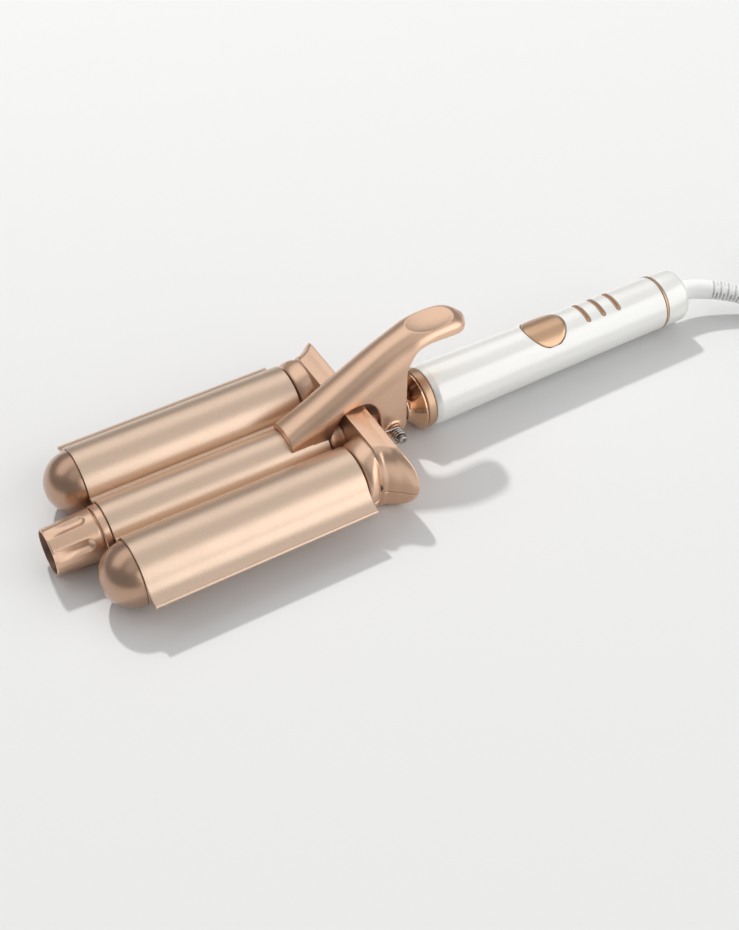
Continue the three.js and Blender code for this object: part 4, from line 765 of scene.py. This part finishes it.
# Clamp plate
def plate_half():
    """Upper face of one half of the sheet from the middle ridge to the flange."""
    middle_end = asin((VALLEY_HEIGHT - MIDDLE_AXIS) / PLATE_MIDDLE)
    outline = arc(0, MIDDLE_AXIS, PLATE_MIDDLE, pi / 2, middle_end, 40)
    start = pi - asin((VALLEY_HEIGHT - OUTER_RADIUS) / PLATE_OUTER)
    valley = outline[-1][0]
    width = OUTER_PITCH + PLATE_OUTER * cos(start) - valley
    bead = [(0.10, -0.1), (0.17, 0.4), (0.24, 0.76), (0.33, 0.8), (0.40, 0.72), (0.45, 0.36), (0.50, -0.25),
            (0.58, -0.4), (0.68, -0.3), (0.80, -0.05), (0.92, 0)]
    outline += [(valley + width * share, VALLEY_HEIGHT + up) for share, up in bead]
    outline += arc(OUTER_PITCH, OUTER_RADIUS, PLATE_OUTER, start, FLANGE_FLARE, 64)
    bend_y = OUTER_PITCH + (PLATE_OUTER + FLANGE_BEND) * cos(FLANGE_FLARE)
    bend_end = pi + acos((bend_y - FLANGE_HALF_WIDTH + HEM_WIDTH + 0.2) / FLANGE_BEND)
    outline += arc(bend_y, FLANGE_HEIGHT + FLANGE_BEND, FLANGE_BEND, pi + FLANGE_FLARE, bend_end, 24)[1:]
    return outline


def mirrored(half):
    """Outline from the far edge on one side, over the middle, to the same edge on the other."""
    return [(-y, z) for y, z in reversed(half[1:])] + half


def make_plate():
    half = plate_half()
    below = [(0, half[0][1] - PLATE_THICKNESS)]
    for before, (y, z), after in zip(half, half[1:], [*half[2:], half[-1]]):
        run = Vector((after[0] - before[0], after[1] - before[1])).normalized()
        below.append((y + run.y * PLATE_THICKNESS, z - run.x * PLATE_THICKNESS))
    hem_low = FLANGE_HEIGHT - PLATE_THICKNESS / 2 - HEM_THICKNESS / 2
    across, rise = HEM_WIDTH / 2, HEM_THICKNESS / 2
    hem_angles = [radians(140 - k * 20) for k in range(15)]
    hem = [(FLANGE_HALF_WIDTH - across + across * cos(a), hem_low + rise * (1 + sin(a))) for a in hem_angles]
    top, bottom = mirrored([*half, *hem]), mirrored(below)
    section = top + bottom[::-1]
    count = len(section)
    stations = [0, 0.12, 0.3, *np.linspace(0.6, PLATE_LENGTH - 0.6, 30), *(PLATE_LENGTH - d for d in (0.3, 0.12, 0))]
    points = [(x, y, z) for x in stations for y, z in section]
    faces = grid_faces(len(stations), count, False)
    lead = (len(top) - len(bottom)) // 2
    for base in (0, (len(stations) - 1) * count):
        faces.append((*range(base, base + lead + 1), base + count - 1))
        for k in range(len(bottom) - 1):
            a, b = base + lead + k, base + count - 1 - k
            faces.append((a, a + 1, b - 1, b))
        faces.append(range(base + lead + len(bottom) - 1, base + len(top) + 1))
    plate = scratch("clamp_plate_sheet", points, faces)
    modify(plate, "BEVEL", width=0.22, segments=2, limit_method="ANGLE", angle_limit=radians(60),
           use_clamp_overlap=False)
    kept(applied(plate), "plate", 32, "clamp")


# Bracket
def bracket_inset(share, y):
    """How far the outline draws in: eased rims, and a shallow channel between them on the wings."""
    edge = 0.3 * (1 - smoothstep(min(share, 1 - share), 0, 0.03))
    channel = smoothstep(share, 0.13, 0.34) * (1 - smoothstep(share, 0.64, 0.88))
    return edge + BRACKET_CHANNEL * channel * smoothstep(abs(y), 36, 44)


def bracket_ring(share):
    wing = BRACKET_FRONT_HALF + (BRACKET_REAR_HALF - BRACKET_FRONT_HALF) * share ** 1.2
    width = BRACKET_ROUND + BRACKET_ROUND_GROWTH * share
    flat = wing - width
    middle, height = (BRACKET_TOP + BRACKET_BOTTOM) / 2, (BRACKET_TOP - BRACKET_BOTTOM) / 2
    ring, steps = [], 40
    for quarter in range(4):
        upper, right = quarter < 2, quarter in (0, 3)
        front_power, rear_power = UPPER_SQUARENESS if upper else LOWER_SQUARENESS
        power = front_power + (rear_power - front_power) * share
        for k in range(steps):
            angle = pi / 2 * (k / steps if quarter in (0, 2) else 1 - k / steps)
            out, rise = cos(angle) ** (2 / power), sin(angle) ** (2 / power)
            y, z = (flat + width * out) * (1 if right else -1), height * rise * (1 if upper else -1)
            inset = bracket_inset(share, y)
            y = copysign(flat + width * out * max(0, 1 - inset * out / width), y)
            if upper:
                z -= inset * rise * 0.5
            reach = smoothstep(abs(y), BRACKET_REAR_HALF - 13, BRACKET_REAR_HALF)
            rear = BRACKET_REAR + BRACKET_WING_FLARE * reach
            ring.append((BRACKET_FRONT + (rear - BRACKET_FRONT) * share, y, middle + z))
    return ring


# Shoulder that meets an outer barrel: growth outwards, inwards and upwards, and squareness, by distance back
SHOULDER_STATIONS = [
    (0, -0.6, -0.6, -0.4, 2), (0.7, 0.2, 0.4, 0.6, 2), (2.5, 0.4, 0.8, 1.5, 2.2), (5.1, -0.6, 0.8, 2.4, 2.4),
    (7.1, -2.8, 0.8, 3, 2.5), (8.7, -6, 0.8, 3.4, 2.4),
]


def shoulder(name, side):
    rings, length, steps = [], SHOULDER_STATIONS[-1][0], 24
    for k in range(steps + 1):
        back = length * k / steps
        out, inwards, up, power = (along([(s[0], s[i]) for s in SHOULDER_STATIONS], back) for i in (1, 2, 3, 4))
        ring = []
        for angle in circle(96):
            across, rise = fuller(cos(angle), 2 / power), fuller(sin(angle), 2 / power)
            reach = OUTER_RADIUS + (out if across > 0 else inwards)
            height = OUTER_RADIUS + up if rise > 0 else OUTER_RADIUS - BRACKET_BOTTOM
            spot = copysign(OUTER_PITCH + reach * across, side)
            ring.append((SHOULDER_FRONT + back, spot, OUTER_RADIUS + height * rise))
        rings.append(ring)
    return lofted(f"shoulder_{name}", rings)


def middle_shoulder():
    full = MIDDLE_RADIUS - 0.2
    corners = [(SHOULDER_FRONT, 0, 0), (SHOULDER_FRONT, full - 0.6, 1.2), (SHOULDER_FRONT + 1.8, full, 0.8),
               (BRACKET_FRONT + 1, full, 0), (BRACKET_FRONT + 1, 0, 0)]
    return turned("shoulder_middle", corners, MIDDLE_AXIS, sides=96)


def bracket_body():
    shares = [0, 0.012, 0.025, 0.04, 0.07, *np.linspace(0.1, 0.9, 25), 0.93, 0.96, 0.975, 0.988, 1]
    body = lofted("bracket", [bracket_ring(s) for s in shares])
    return combined(body, [*(shoulder(*row) for row in SIDES.items()), middle_shoulder()], "UNION")


def make_bracket():
    far = 90
    parts = (("upper", SPLIT_HEIGHT + SPLIT_GAP / 2, far), ("lower", -far, SPLIT_HEIGHT - SPLIT_GAP / 2))
    for name, low, high in parts:
        half = combined(bracket_body(), [block(100, 160, far, low, high)], "INTERSECT")
        half.name = f"bracket_{name}_shell"
        kept(softened(half, 2, BRACKET_FRONT - 0.1), "moulded", 0)


# Lever, by station: its top, half its width and the height of its crown
LEVER_TOP = [
    (95, 31.6), (101, 34.6), (109, 38.7), (120, 44.7), (130, 50.2), (138, 54.6), (149, 60.2), (160, 64.8),
    (166, 66.7), (172, 67.6), (180, 67.8), (187, 67.2), (192, 65.9), (LEVER_REAR, 63.3),
]
LEVER_HALF_WIDTH = [
    (95, 10), (105, 10.1), (115, 10.7), (124, LEVER_HALF), (160, LEVER_HALF), (168, 10.7), (176, 10.4),
    (184, 10.2), (189, 9.7), (192.6, 8.3), (195, 6), (LEVER_REAR, 3.6),
]
LEVER_CROWN = [
    (95, 6.5), (105, 8), (116, 9.6), (128, 10.6), (150, 10.8), (160, 9.8), (167, 7.4), (175, 5.8), (186, 5),
    (LEVER_REAR, 4),
]


def lever_ring(x, inset, low, steps=28):
    """Section of the lever: a rounded crown over side walls that draw in slightly below it."""
    half = along(LEVER_HALF_WIDTH, x) - inset
    top = along(LEVER_TOP, x) - inset
    crown = min(along(LEVER_CROWN, x), half) - inset * 0.3
    web = 0.7 * smoothstep(x, 112, 128) * (0 if inset else 1)
    brow = top - crown
    walls = ((1, low), (1, brow - 8.5), (0.75, brow - 6.5), (0.15, brow - 3))
    ring = [(x, -half + web * share, z) for share, z in walls]
    for k in range(steps + 1):
        angle = pi - pi * k / steps
        ring.append((x, half * fuller(cos(angle), 0.92), brow + crown * sin(angle) ** 0.92))
    return ring + [(x, -y, z) for x, y, z in reversed(ring[:4])]


def lever_side():
    """Side view of the lever: foot, arch over the crossbar, pivot boss, web and thumb rest."""
    foot_low = MIDDLE_AXIS + sqrt(PLATE_MIDDLE ** 2 - (LEVER_HALF - 1) ** 2) + FIT_GAP
    start, end = (pi - asin((z - PIVOT_Z) / ARCH_RADIUS) for z in (foot_low, ARCH_TOP - 3))
    outline = [(LEVER_FRONT - 1, foot_low), *arc(PIVOT_X, PIVOT_Z, ARCH_RADIUS, start, end, 24)]
    outline += bezier(outline[-1], (125.2, ARCH_TOP - 0.6), (128, ARCH_TOP), (131, ARCH_TOP))
    outline += bezier(outline[-1], (138.5, ARCH_TOP), (144.5, 33.5), (144.8, 20))
    outline += arc(PIVOT_X, PIVOT_Z, 6.4, pi, 1.82 * pi, 30)
    outline += [(LEVER_WEB_REAR, PIVOT_Z - 0.4), (LEVER_WEB_REAR, 46)]
    outline += bezier(outline[-1], (160.6, 54), (163.5, 59.4), (170, 60.4))
    outline += bezier(outline[-1], (178, 61), (186, 59.4), (LEVER_REAR + 2, 58.6))
    return [*outline, (LEVER_REAR + 2, 90), (LEVER_FRONT - 1, 90)]


def thumb_dish():
    """Ellipsoid that presses the oval dish into the thumb rest."""
    ball = bmesh.new()
    bmesh.ops.create_uvsphere(ball, u_segments=128, v_segments=192, radius=1)
    mesh = bpy.data.meshes.new("dish")
    ball.to_mesh(mesh)
    ball.free()
    mesh.transform(Matrix.Diagonal((*DISH_REACH, 1)))
    mesh.transform(Matrix.Translation((DISH_X, 0, along(LEVER_TOP, DISH_X) - DISH_DEPTH + DISH_REACH[2])))
    return linked("dish", mesh)


def make_lever():
    lever = lofted("clamp_lever_body", [lever_ring(x, 0, 2) for x in np.linspace(LEVER_FRONT, LEVER_REAR, 100)])
    combined(lever, [drawn_across("side", lever_side(), 30)], "INTERSECT")
    hollow_end = LEVER_WEB_REAR - LEVER_WALL
    stations = np.linspace(LEVER_FRONT + LEVER_WALL, hollow_end, 24)
    hollow = lofted("hollow", [lever_ring(x, LEVER_WALL, -2, 16) for x in stations])
    gap = block(hollow_end - 4, LEVER_WEB_REAR + 1, LEVER_HALF - LEVER_WALL, -2, PIVOT_Z + 31)
    arch = turned("arch", band(LEVER_FRONT - 1, BRACKET_FRONT, 0, PLATE_MIDDLE + FIT_GAP), MIDDLE_AXIS)
    combined(lever, [hollow, gap, arch, thumb_dish()], "DIFFERENCE")
    for name, side in SIDES.items():
        inner, outer = side * (LEVER_HALF - 1.6), side * LEVER_HALF
        boss = turned_across(f"boss_{name}", [(inner, 0, 0), (inner, 5.4, 0), (outer, 4.9, 0.3), (outer, 0, 0)])
        combined(lever, [boss], "UNION")
    kept(softened(lever, 3), "moulded", 0, "clamp")


# Pivot
def make_pivot():
    spring_room = SPRING_TURNS * SPRING_PITCH + SPRING_WIRE + FIT_GAP
    washer_in = LEVER_HALF + FIT_GAP
    washer_out = washer_in + WASHER_THICKNESS
    for name, side in SIDES.items():
        corners = band(side * washer_in, side * washer_out, 1.9, 4, (0, 0.2, 0.3, 0.2))
        kept(turned_across(f"pivot_washer_{name}_ring", corners), "mirror")
        head_in = washer_out + FIT_GAP + (spring_room if name == "near" else 0)
        profile = [(3.2, 0, 0), (3.2, 1.6, 0.2), (head_in, 1.6, 0.1), (head_in, 2.6, 0.25), (head_in + 1.8, 2.35, 0.5),
                   (head_in + 1.8, 1.3, 0.15), (head_in + 0.7, 1.15, 0.1), (head_in + 0.7, 0, 0)]
        corners = [(side * across, radius, ease) for across, radius, ease in profile]
        kept(turned_across(f"pivot_screw_{name}_shank", corners), "steel")
    make_pivot_spring()


def make_pivot_spring():
    start = -(LEVER_HALF + WASHER_THICKNESS + 2 * FIT_GAP + SPRING_WIRE / 2)
    end = start - SPRING_TURNS * SPRING_PITCH
    top, bottom = PIVOT_Z + SPRING_RADIUS, PIVOT_Z - SPRING_RADIUS
    path = [(PIVOT_X - 9, start, top + 0.6), (PIVOT_X - 3, start, top)]
    steps = int(SPRING_TURNS * 32)
    for i in range(steps + 1):
        turn = i / steps * SPRING_TURNS
        angle = pi / 2 - turn * TAU
        x, z = PIVOT_X + SPRING_RADIUS * cos(angle), PIVOT_Z + SPRING_RADIUS * sin(angle)
        path.append((x, start - turn * SPRING_PITCH, z))
    path += [(PIVOT_X - 3, end, bottom), (BRACKET_REAR + 1.2, end, bottom - 0.8)]
    declared(wire("pivot_spring_coil", path, SPRING_WIRE / 2, 3), "steel", "root", "pivot_spring")


# Handle
def on_axis(name, corners, finish, steps=4):
    kept(turned(name, corners, HANDLE_AXIS, 0, HANDLE_SIDES, steps), finish, 30)


def make_bell():
    rise = BELL_RIM_RADIUS - NECK_RADIUS - 0.9
    corners = [(BELL_FRONT, NECK_BORE, 0), (BELL_FRONT, NECK_RADIUS + 0.75, 0.3)]
    steps = 30
    for i in range(steps + 1):
        share = i / steps
        bend = share * share * (1.55 - 0.55 * share)
        corners.append((BELL_FRONT + 0.3 + (BELL_LENGTH - 1.2) * share, NECK_RADIUS + 0.9 + rise * bend, 0))
    rear = BELL_FRONT + BELL_LENGTH
    on_axis("neck_bell_mirror", [*corners, (rear, BELL_RIM_RADIUS, 0.25), (rear, NECK_BORE, 0)], "mirror")
    corners = band(RING_FRONT, RING_FRONT + RING_LENGTH, NECK_BORE, RING_RADIUS, (0, 1.1, 1.1, 0))
    on_axis("front_ring_band", corners, "ring", 8)


def handle_radius(x):
    share = (x - HANDLE_FRONT) / HANDLE_LENGTH
    straight = HANDLE_FRONT_RADIUS + (HANDLE_REAR_RADIUS - HANDLE_FRONT_RADIUS) * share
    return straight - HANDLE_BOW * sin(pi * share)


def on_handle(x, y, drop=0.0, raise_by=0.0):
    radius = handle_radius(x) + raise_by
    return x, y, HANDLE_AXIS + sqrt(radius ** 2 - y ** 2) - drop


def button_outline(angle, grow):
    reach = BUTTON_RADIUS + grow
    lengthwise, across = fuller(cos(angle), BUTTON_FULLNESS), fuller(sin(angle), BUTTON_FULLNESS)
    return BUTTON_X + reach * lengthwise, reach * across


def window_outline(centre):
    def outline(angle, grow):
        half = WINDOW_HALF_WIDTH + grow
        straight = WINDOW_HALF_LENGTH - WINDOW_HALF_WIDTH
        along_slot = sin(angle)
        shift = copysign(straight, along_slot) * min(1, abs(along_slot) * 1.6)
        turn = max(0, abs(along_slot) * 1.6 - 1) / 0.6 * pi / 2
        across = copysign(half * cos(turn), cos(angle))
        return centre + across, shift + copysign(half * sin(turn), along_slot)
    return outline


def opening_patch(outline, x_stations, turns, gap):
    """Skin between a rectangle of the handle's grid and an opening, its rounded rim, wall and floor."""
    loop = [(x, turns[0]) for x in x_stations[:-1]] + [(x_stations[-1], t) for t in turns[:-1]]
    loop += [(x, turns[-1]) for x in reversed(x_stations[1:])] + [(x_stations[0], t) for t in reversed(turns[1:])]
    middle_x, half_x = (x_stations[0] + x_stations[-1]) / 2, (x_stations[-1] - x_stations[0]) / 2
    rim, steps, blend = 0.3, 4, 7
    columns = []
    for x, turn in loop:
        angle = atan2(turn / turns[-1], (x - middle_x) / half_x)
        edge_x, edge_y = outline(angle, gap + rim)
        edge_turn = asin(edge_y / handle_radius(edge_x))
        column = []
        for k in range(blend + 1):
            t = k / blend
            at_x, at_turn = x + (edge_x - x) * t, turn + (edge_turn - turn) * t
            radius = handle_radius(at_x)
            column.append((at_x, radius * sin(at_turn), HANDLE_AXIS + radius * cos(at_turn)))
        for k in range(1, steps + 1):
            bend = pi / 2 * k / steps
            column.append(on_handle(*outline(angle, gap + rim * (1 - sin(bend))), rim * (1 - cos(bend))))
        wall_x, wall_y = outline(angle, gap)
        column.append(on_handle(wall_x, wall_y, OPENING_DEPTH))
        column.append(on_handle(middle_x + (wall_x - middle_x) * 0.1, wall_y * 0.1, OPENING_DEPTH))
        columns.append(column)
    points, faces, ends = skin([*zip(*columns)])
    return points, [*faces, range(ends[1], len(points))]


def make_handle():
    """Turned skin with a patch of its own round each opening."""
    sides = 144
    turn_step = TAU / sides
    half = WINDOW_PITCH / 2
    patches = [(BUTTON_X - 16, BUTTON_X + 13.4, 20, button_outline, BUTTON_GAP)]
    patches += [(x - half, x + half, 14, window_outline(x), WINDOW_GAP) for x in WINDOW_CENTRES]
    start = HANDLE_FRONT + HANDLE_CHAMFER
    marks = sorted({start, HANDLE_REAR, *(x for p in patches for x in p[:2])})
    stations = []
    for low, high in zip(marks, marks[1:]):
        stations += list(np.linspace(low, high, max(2, round((high - low) / 1.3)) + 1)[:-1])
    stations.append(HANDLE_REAR)
    front = [(HANDLE_FRONT, NECK_BORE), (HANDLE_FRONT, HANDLE_FRONT_RADIUS - 1.3),
             (HANDLE_FRONT + 0.15, HANDLE_FRONT_RADIUS - 0.95), (HANDLE_FRONT + 0.5, HANDLE_FRONT_RADIUS - 0.72),
             (start - 0.35, handle_radius(start) - 0.07), (start - 0.12, handle_radius(start) - 0.015)]
    inner = handle_radius(HANDLE_REAR) - HANDLE_WALL
    back = [(HANDLE_REAR, inner), (HANDLE_FRONT + 4, inner), (HANDLE_FRONT + 4, NECK_BORE)]
    outline = [*front, *((x, handle_radius(x)) for x in stations), *back]
    columns = len(outline)
    points = [(x, r * sin(turn_step * k), HANDLE_AXIS + r * cos(turn_step * k))
              for k in range(sides) for x, r in outline]
    faces = []
    for face in grid_faces(sides, columns):
        k, j = divmod(face[0], columns)
        j -= len(front)
        turn = k + 0.5 if k < sides / 2 else k + 0.5 - sides
        middle = (stations[j] + stations[j + 1]) / 2 if 0 <= j < len(stations) - 1 else HANDLE_FRONT
        if not any(p[0] < middle < p[1] and abs(turn) < p[2] for p in patches):
            faces.append(face)
    for low, high, reach, shape, gap in patches:
        at = [x for x in stations if low - 1e-6 <= x <= high + 1e-6]
        more, more_faces = opening_patch(shape, at, [turn_step * k for k in range(-reach, reach + 1)], gap)
        base = len(points)
        points += more
        faces += [[base + v for v in face] for face in more_faces]
    kept(scratch("handle_shell_tube", points, faces), "pearl", 28)


def saddle(name, outline, profile, raise_by, count=128):
    """Cap that follows the handle: rings of an outline drawn in and sunk by steps, closed above and below."""
    angles = [TAU * (k + 0.5) / count for k in range(count)]
    rings = [[on_handle(*outline(a, grow), drop, raise_by) for a in angles] for grow, drop in profile]
    points, faces, ends = skin(rings)
    for base in ends:
        for k in range(count // 2 - 1):
            faces.append((base + k, base + k + 1, base + count - 2 - k, base + count - 1 - k))
    return scratch(name, points, faces)


def make_button_and_windows():
    profile = [(-BUTTON_RADIUS * (1 - k / 12), 0) for k in range(1, 11)]
    profile += [(-1.2, 0), (-1.08, 0.02), (-0.95, 0.07), (-0.3, 0.3), (-0.12, 0.42), (-0.03, 0.6), (0, 0.8), (0, 1.8)]
    cap = saddle("power_button_cap", button_outline, profile, 0.25)
    kept(cap, "button", 30, "power_button")
    profile = [(-0.9, 0), (-0.5, 0), (-0.25, 0.02), (-0.08, 0.1), (0, 0.3), (0, 1.8)]
    for number, centre in enumerate(WINDOW_CENTRES, 1):
        kept(saddle(f"light_window_{number}_lens", window_outline(centre), profile, -0.12, 96), "window", 30)


def make_handle_end():
    ring_front = HANDLE_REAR + FIT_GAP
    ring_rear = ring_front + 1.4
    corners = band(ring_front, ring_rear, 11.6, HANDLE_REAR_RADIUS + 0.15, (0, 0.35, 0.35, 0))
    on_axis("rear_ring_band", corners, "ring")
    cap_front, floor = ring_rear + FIT_GAP, END_CAP_REAR - END_CAP_FLOOR
    bore = RELIEF_RADIUS + FIT_GAP
    corners = [(cap_front, END_CAP_BORE, 0), (cap_front, HANDLE_REAR_RADIUS, 0.3),
               (END_CAP_REAR - 2, HANDLE_REAR_RADIUS - 0.2, 1.2), (END_CAP_REAR - 0.4, HANDLE_REAR_RADIUS - 1.2, 0.9),
               (END_CAP_REAR, HANDLE_REAR_RADIUS - 3, 0.8), (END_CAP_REAR, bore, 0.5), (floor, bore, 0),
               (floor, END_CAP_BORE, 0)]
    on_axis("end_cap_shell", corners, "pearl", 6)


# Floor, lights and world
def make_stage():
    material, shader = new_material("pale_floor", (0.755, 0.755, 0.755), 0.9, 0.0)
    shader.inputs["Specular IOR Level"].default_value = 0.1
    mesh = bpy.data.meshes.new("floor")
    far = 6
    mesh.from_pydata([(-far, -far, 0), (far, -far, 0), (far, far, 0), (-far, far, 0)], [], [(0, 1, 2, 3)])
    mesh.materials.append(material)
    linked("floor", mesh)


def soft_light(name, direction, distance, size, power, colour=(1, 1, 1), in_mirrors=True):
    data = bpy.data.lights.new(name, "AREA")
    data.shape = "RECTANGLE"
    data.size, data.size_y = size
    data.energy = power
    data.color = colour
    light = linked(name, data)
    away = Vector(direction).normalized()
    light.location = away * distance
    light.rotation_mode = "QUATERNION"
    light.rotation_quaternion = away.to_track_quat("Z", "Y")
    light.visible_glossy = in_mirrors


def make_lights():
    soft_light("key", (0.06, 0.62, 0.74), 4.0, (0.20, 0.20), 86, (1.0, 0.99, 0.97), False)
    soft_light("front_window", (0.60, -0.72, 0.32), 3.2, (4.6, 4.4), 94)
    soft_light("top_window", (-0.10, 0.52, 0.84), 3.0, (5.6, 2.2), 34)
    soft_light("ceiling", (0.10, -0.17, 0.98), 3.3, (5.0, 2.0), 13)
    world = bpy.data.worlds.new("studio")
    world.use_nodes = True
    background = world.node_tree.nodes["Background"]
    background.inputs["Color"].default_value = (1, 1, 1, 1)
    background.inputs["Strength"].default_value = 0.255
    bpy.context.scene.world = world
    bpy.context.scene.view_settings.view_transform = "Standard"


make_camera()
materials = {key: grained(*row) for key, row in FINISHES.items()}
make_cord()
make_barrels()
make_ball_caps()
make_cool_tip()
make_plate()
make_bracket()
make_lever()
make_pivot()
make_bell()
make_handle()
make_button_and_windows()
make_handle_end()
finish_nodes()
make_stage()
make_lights()
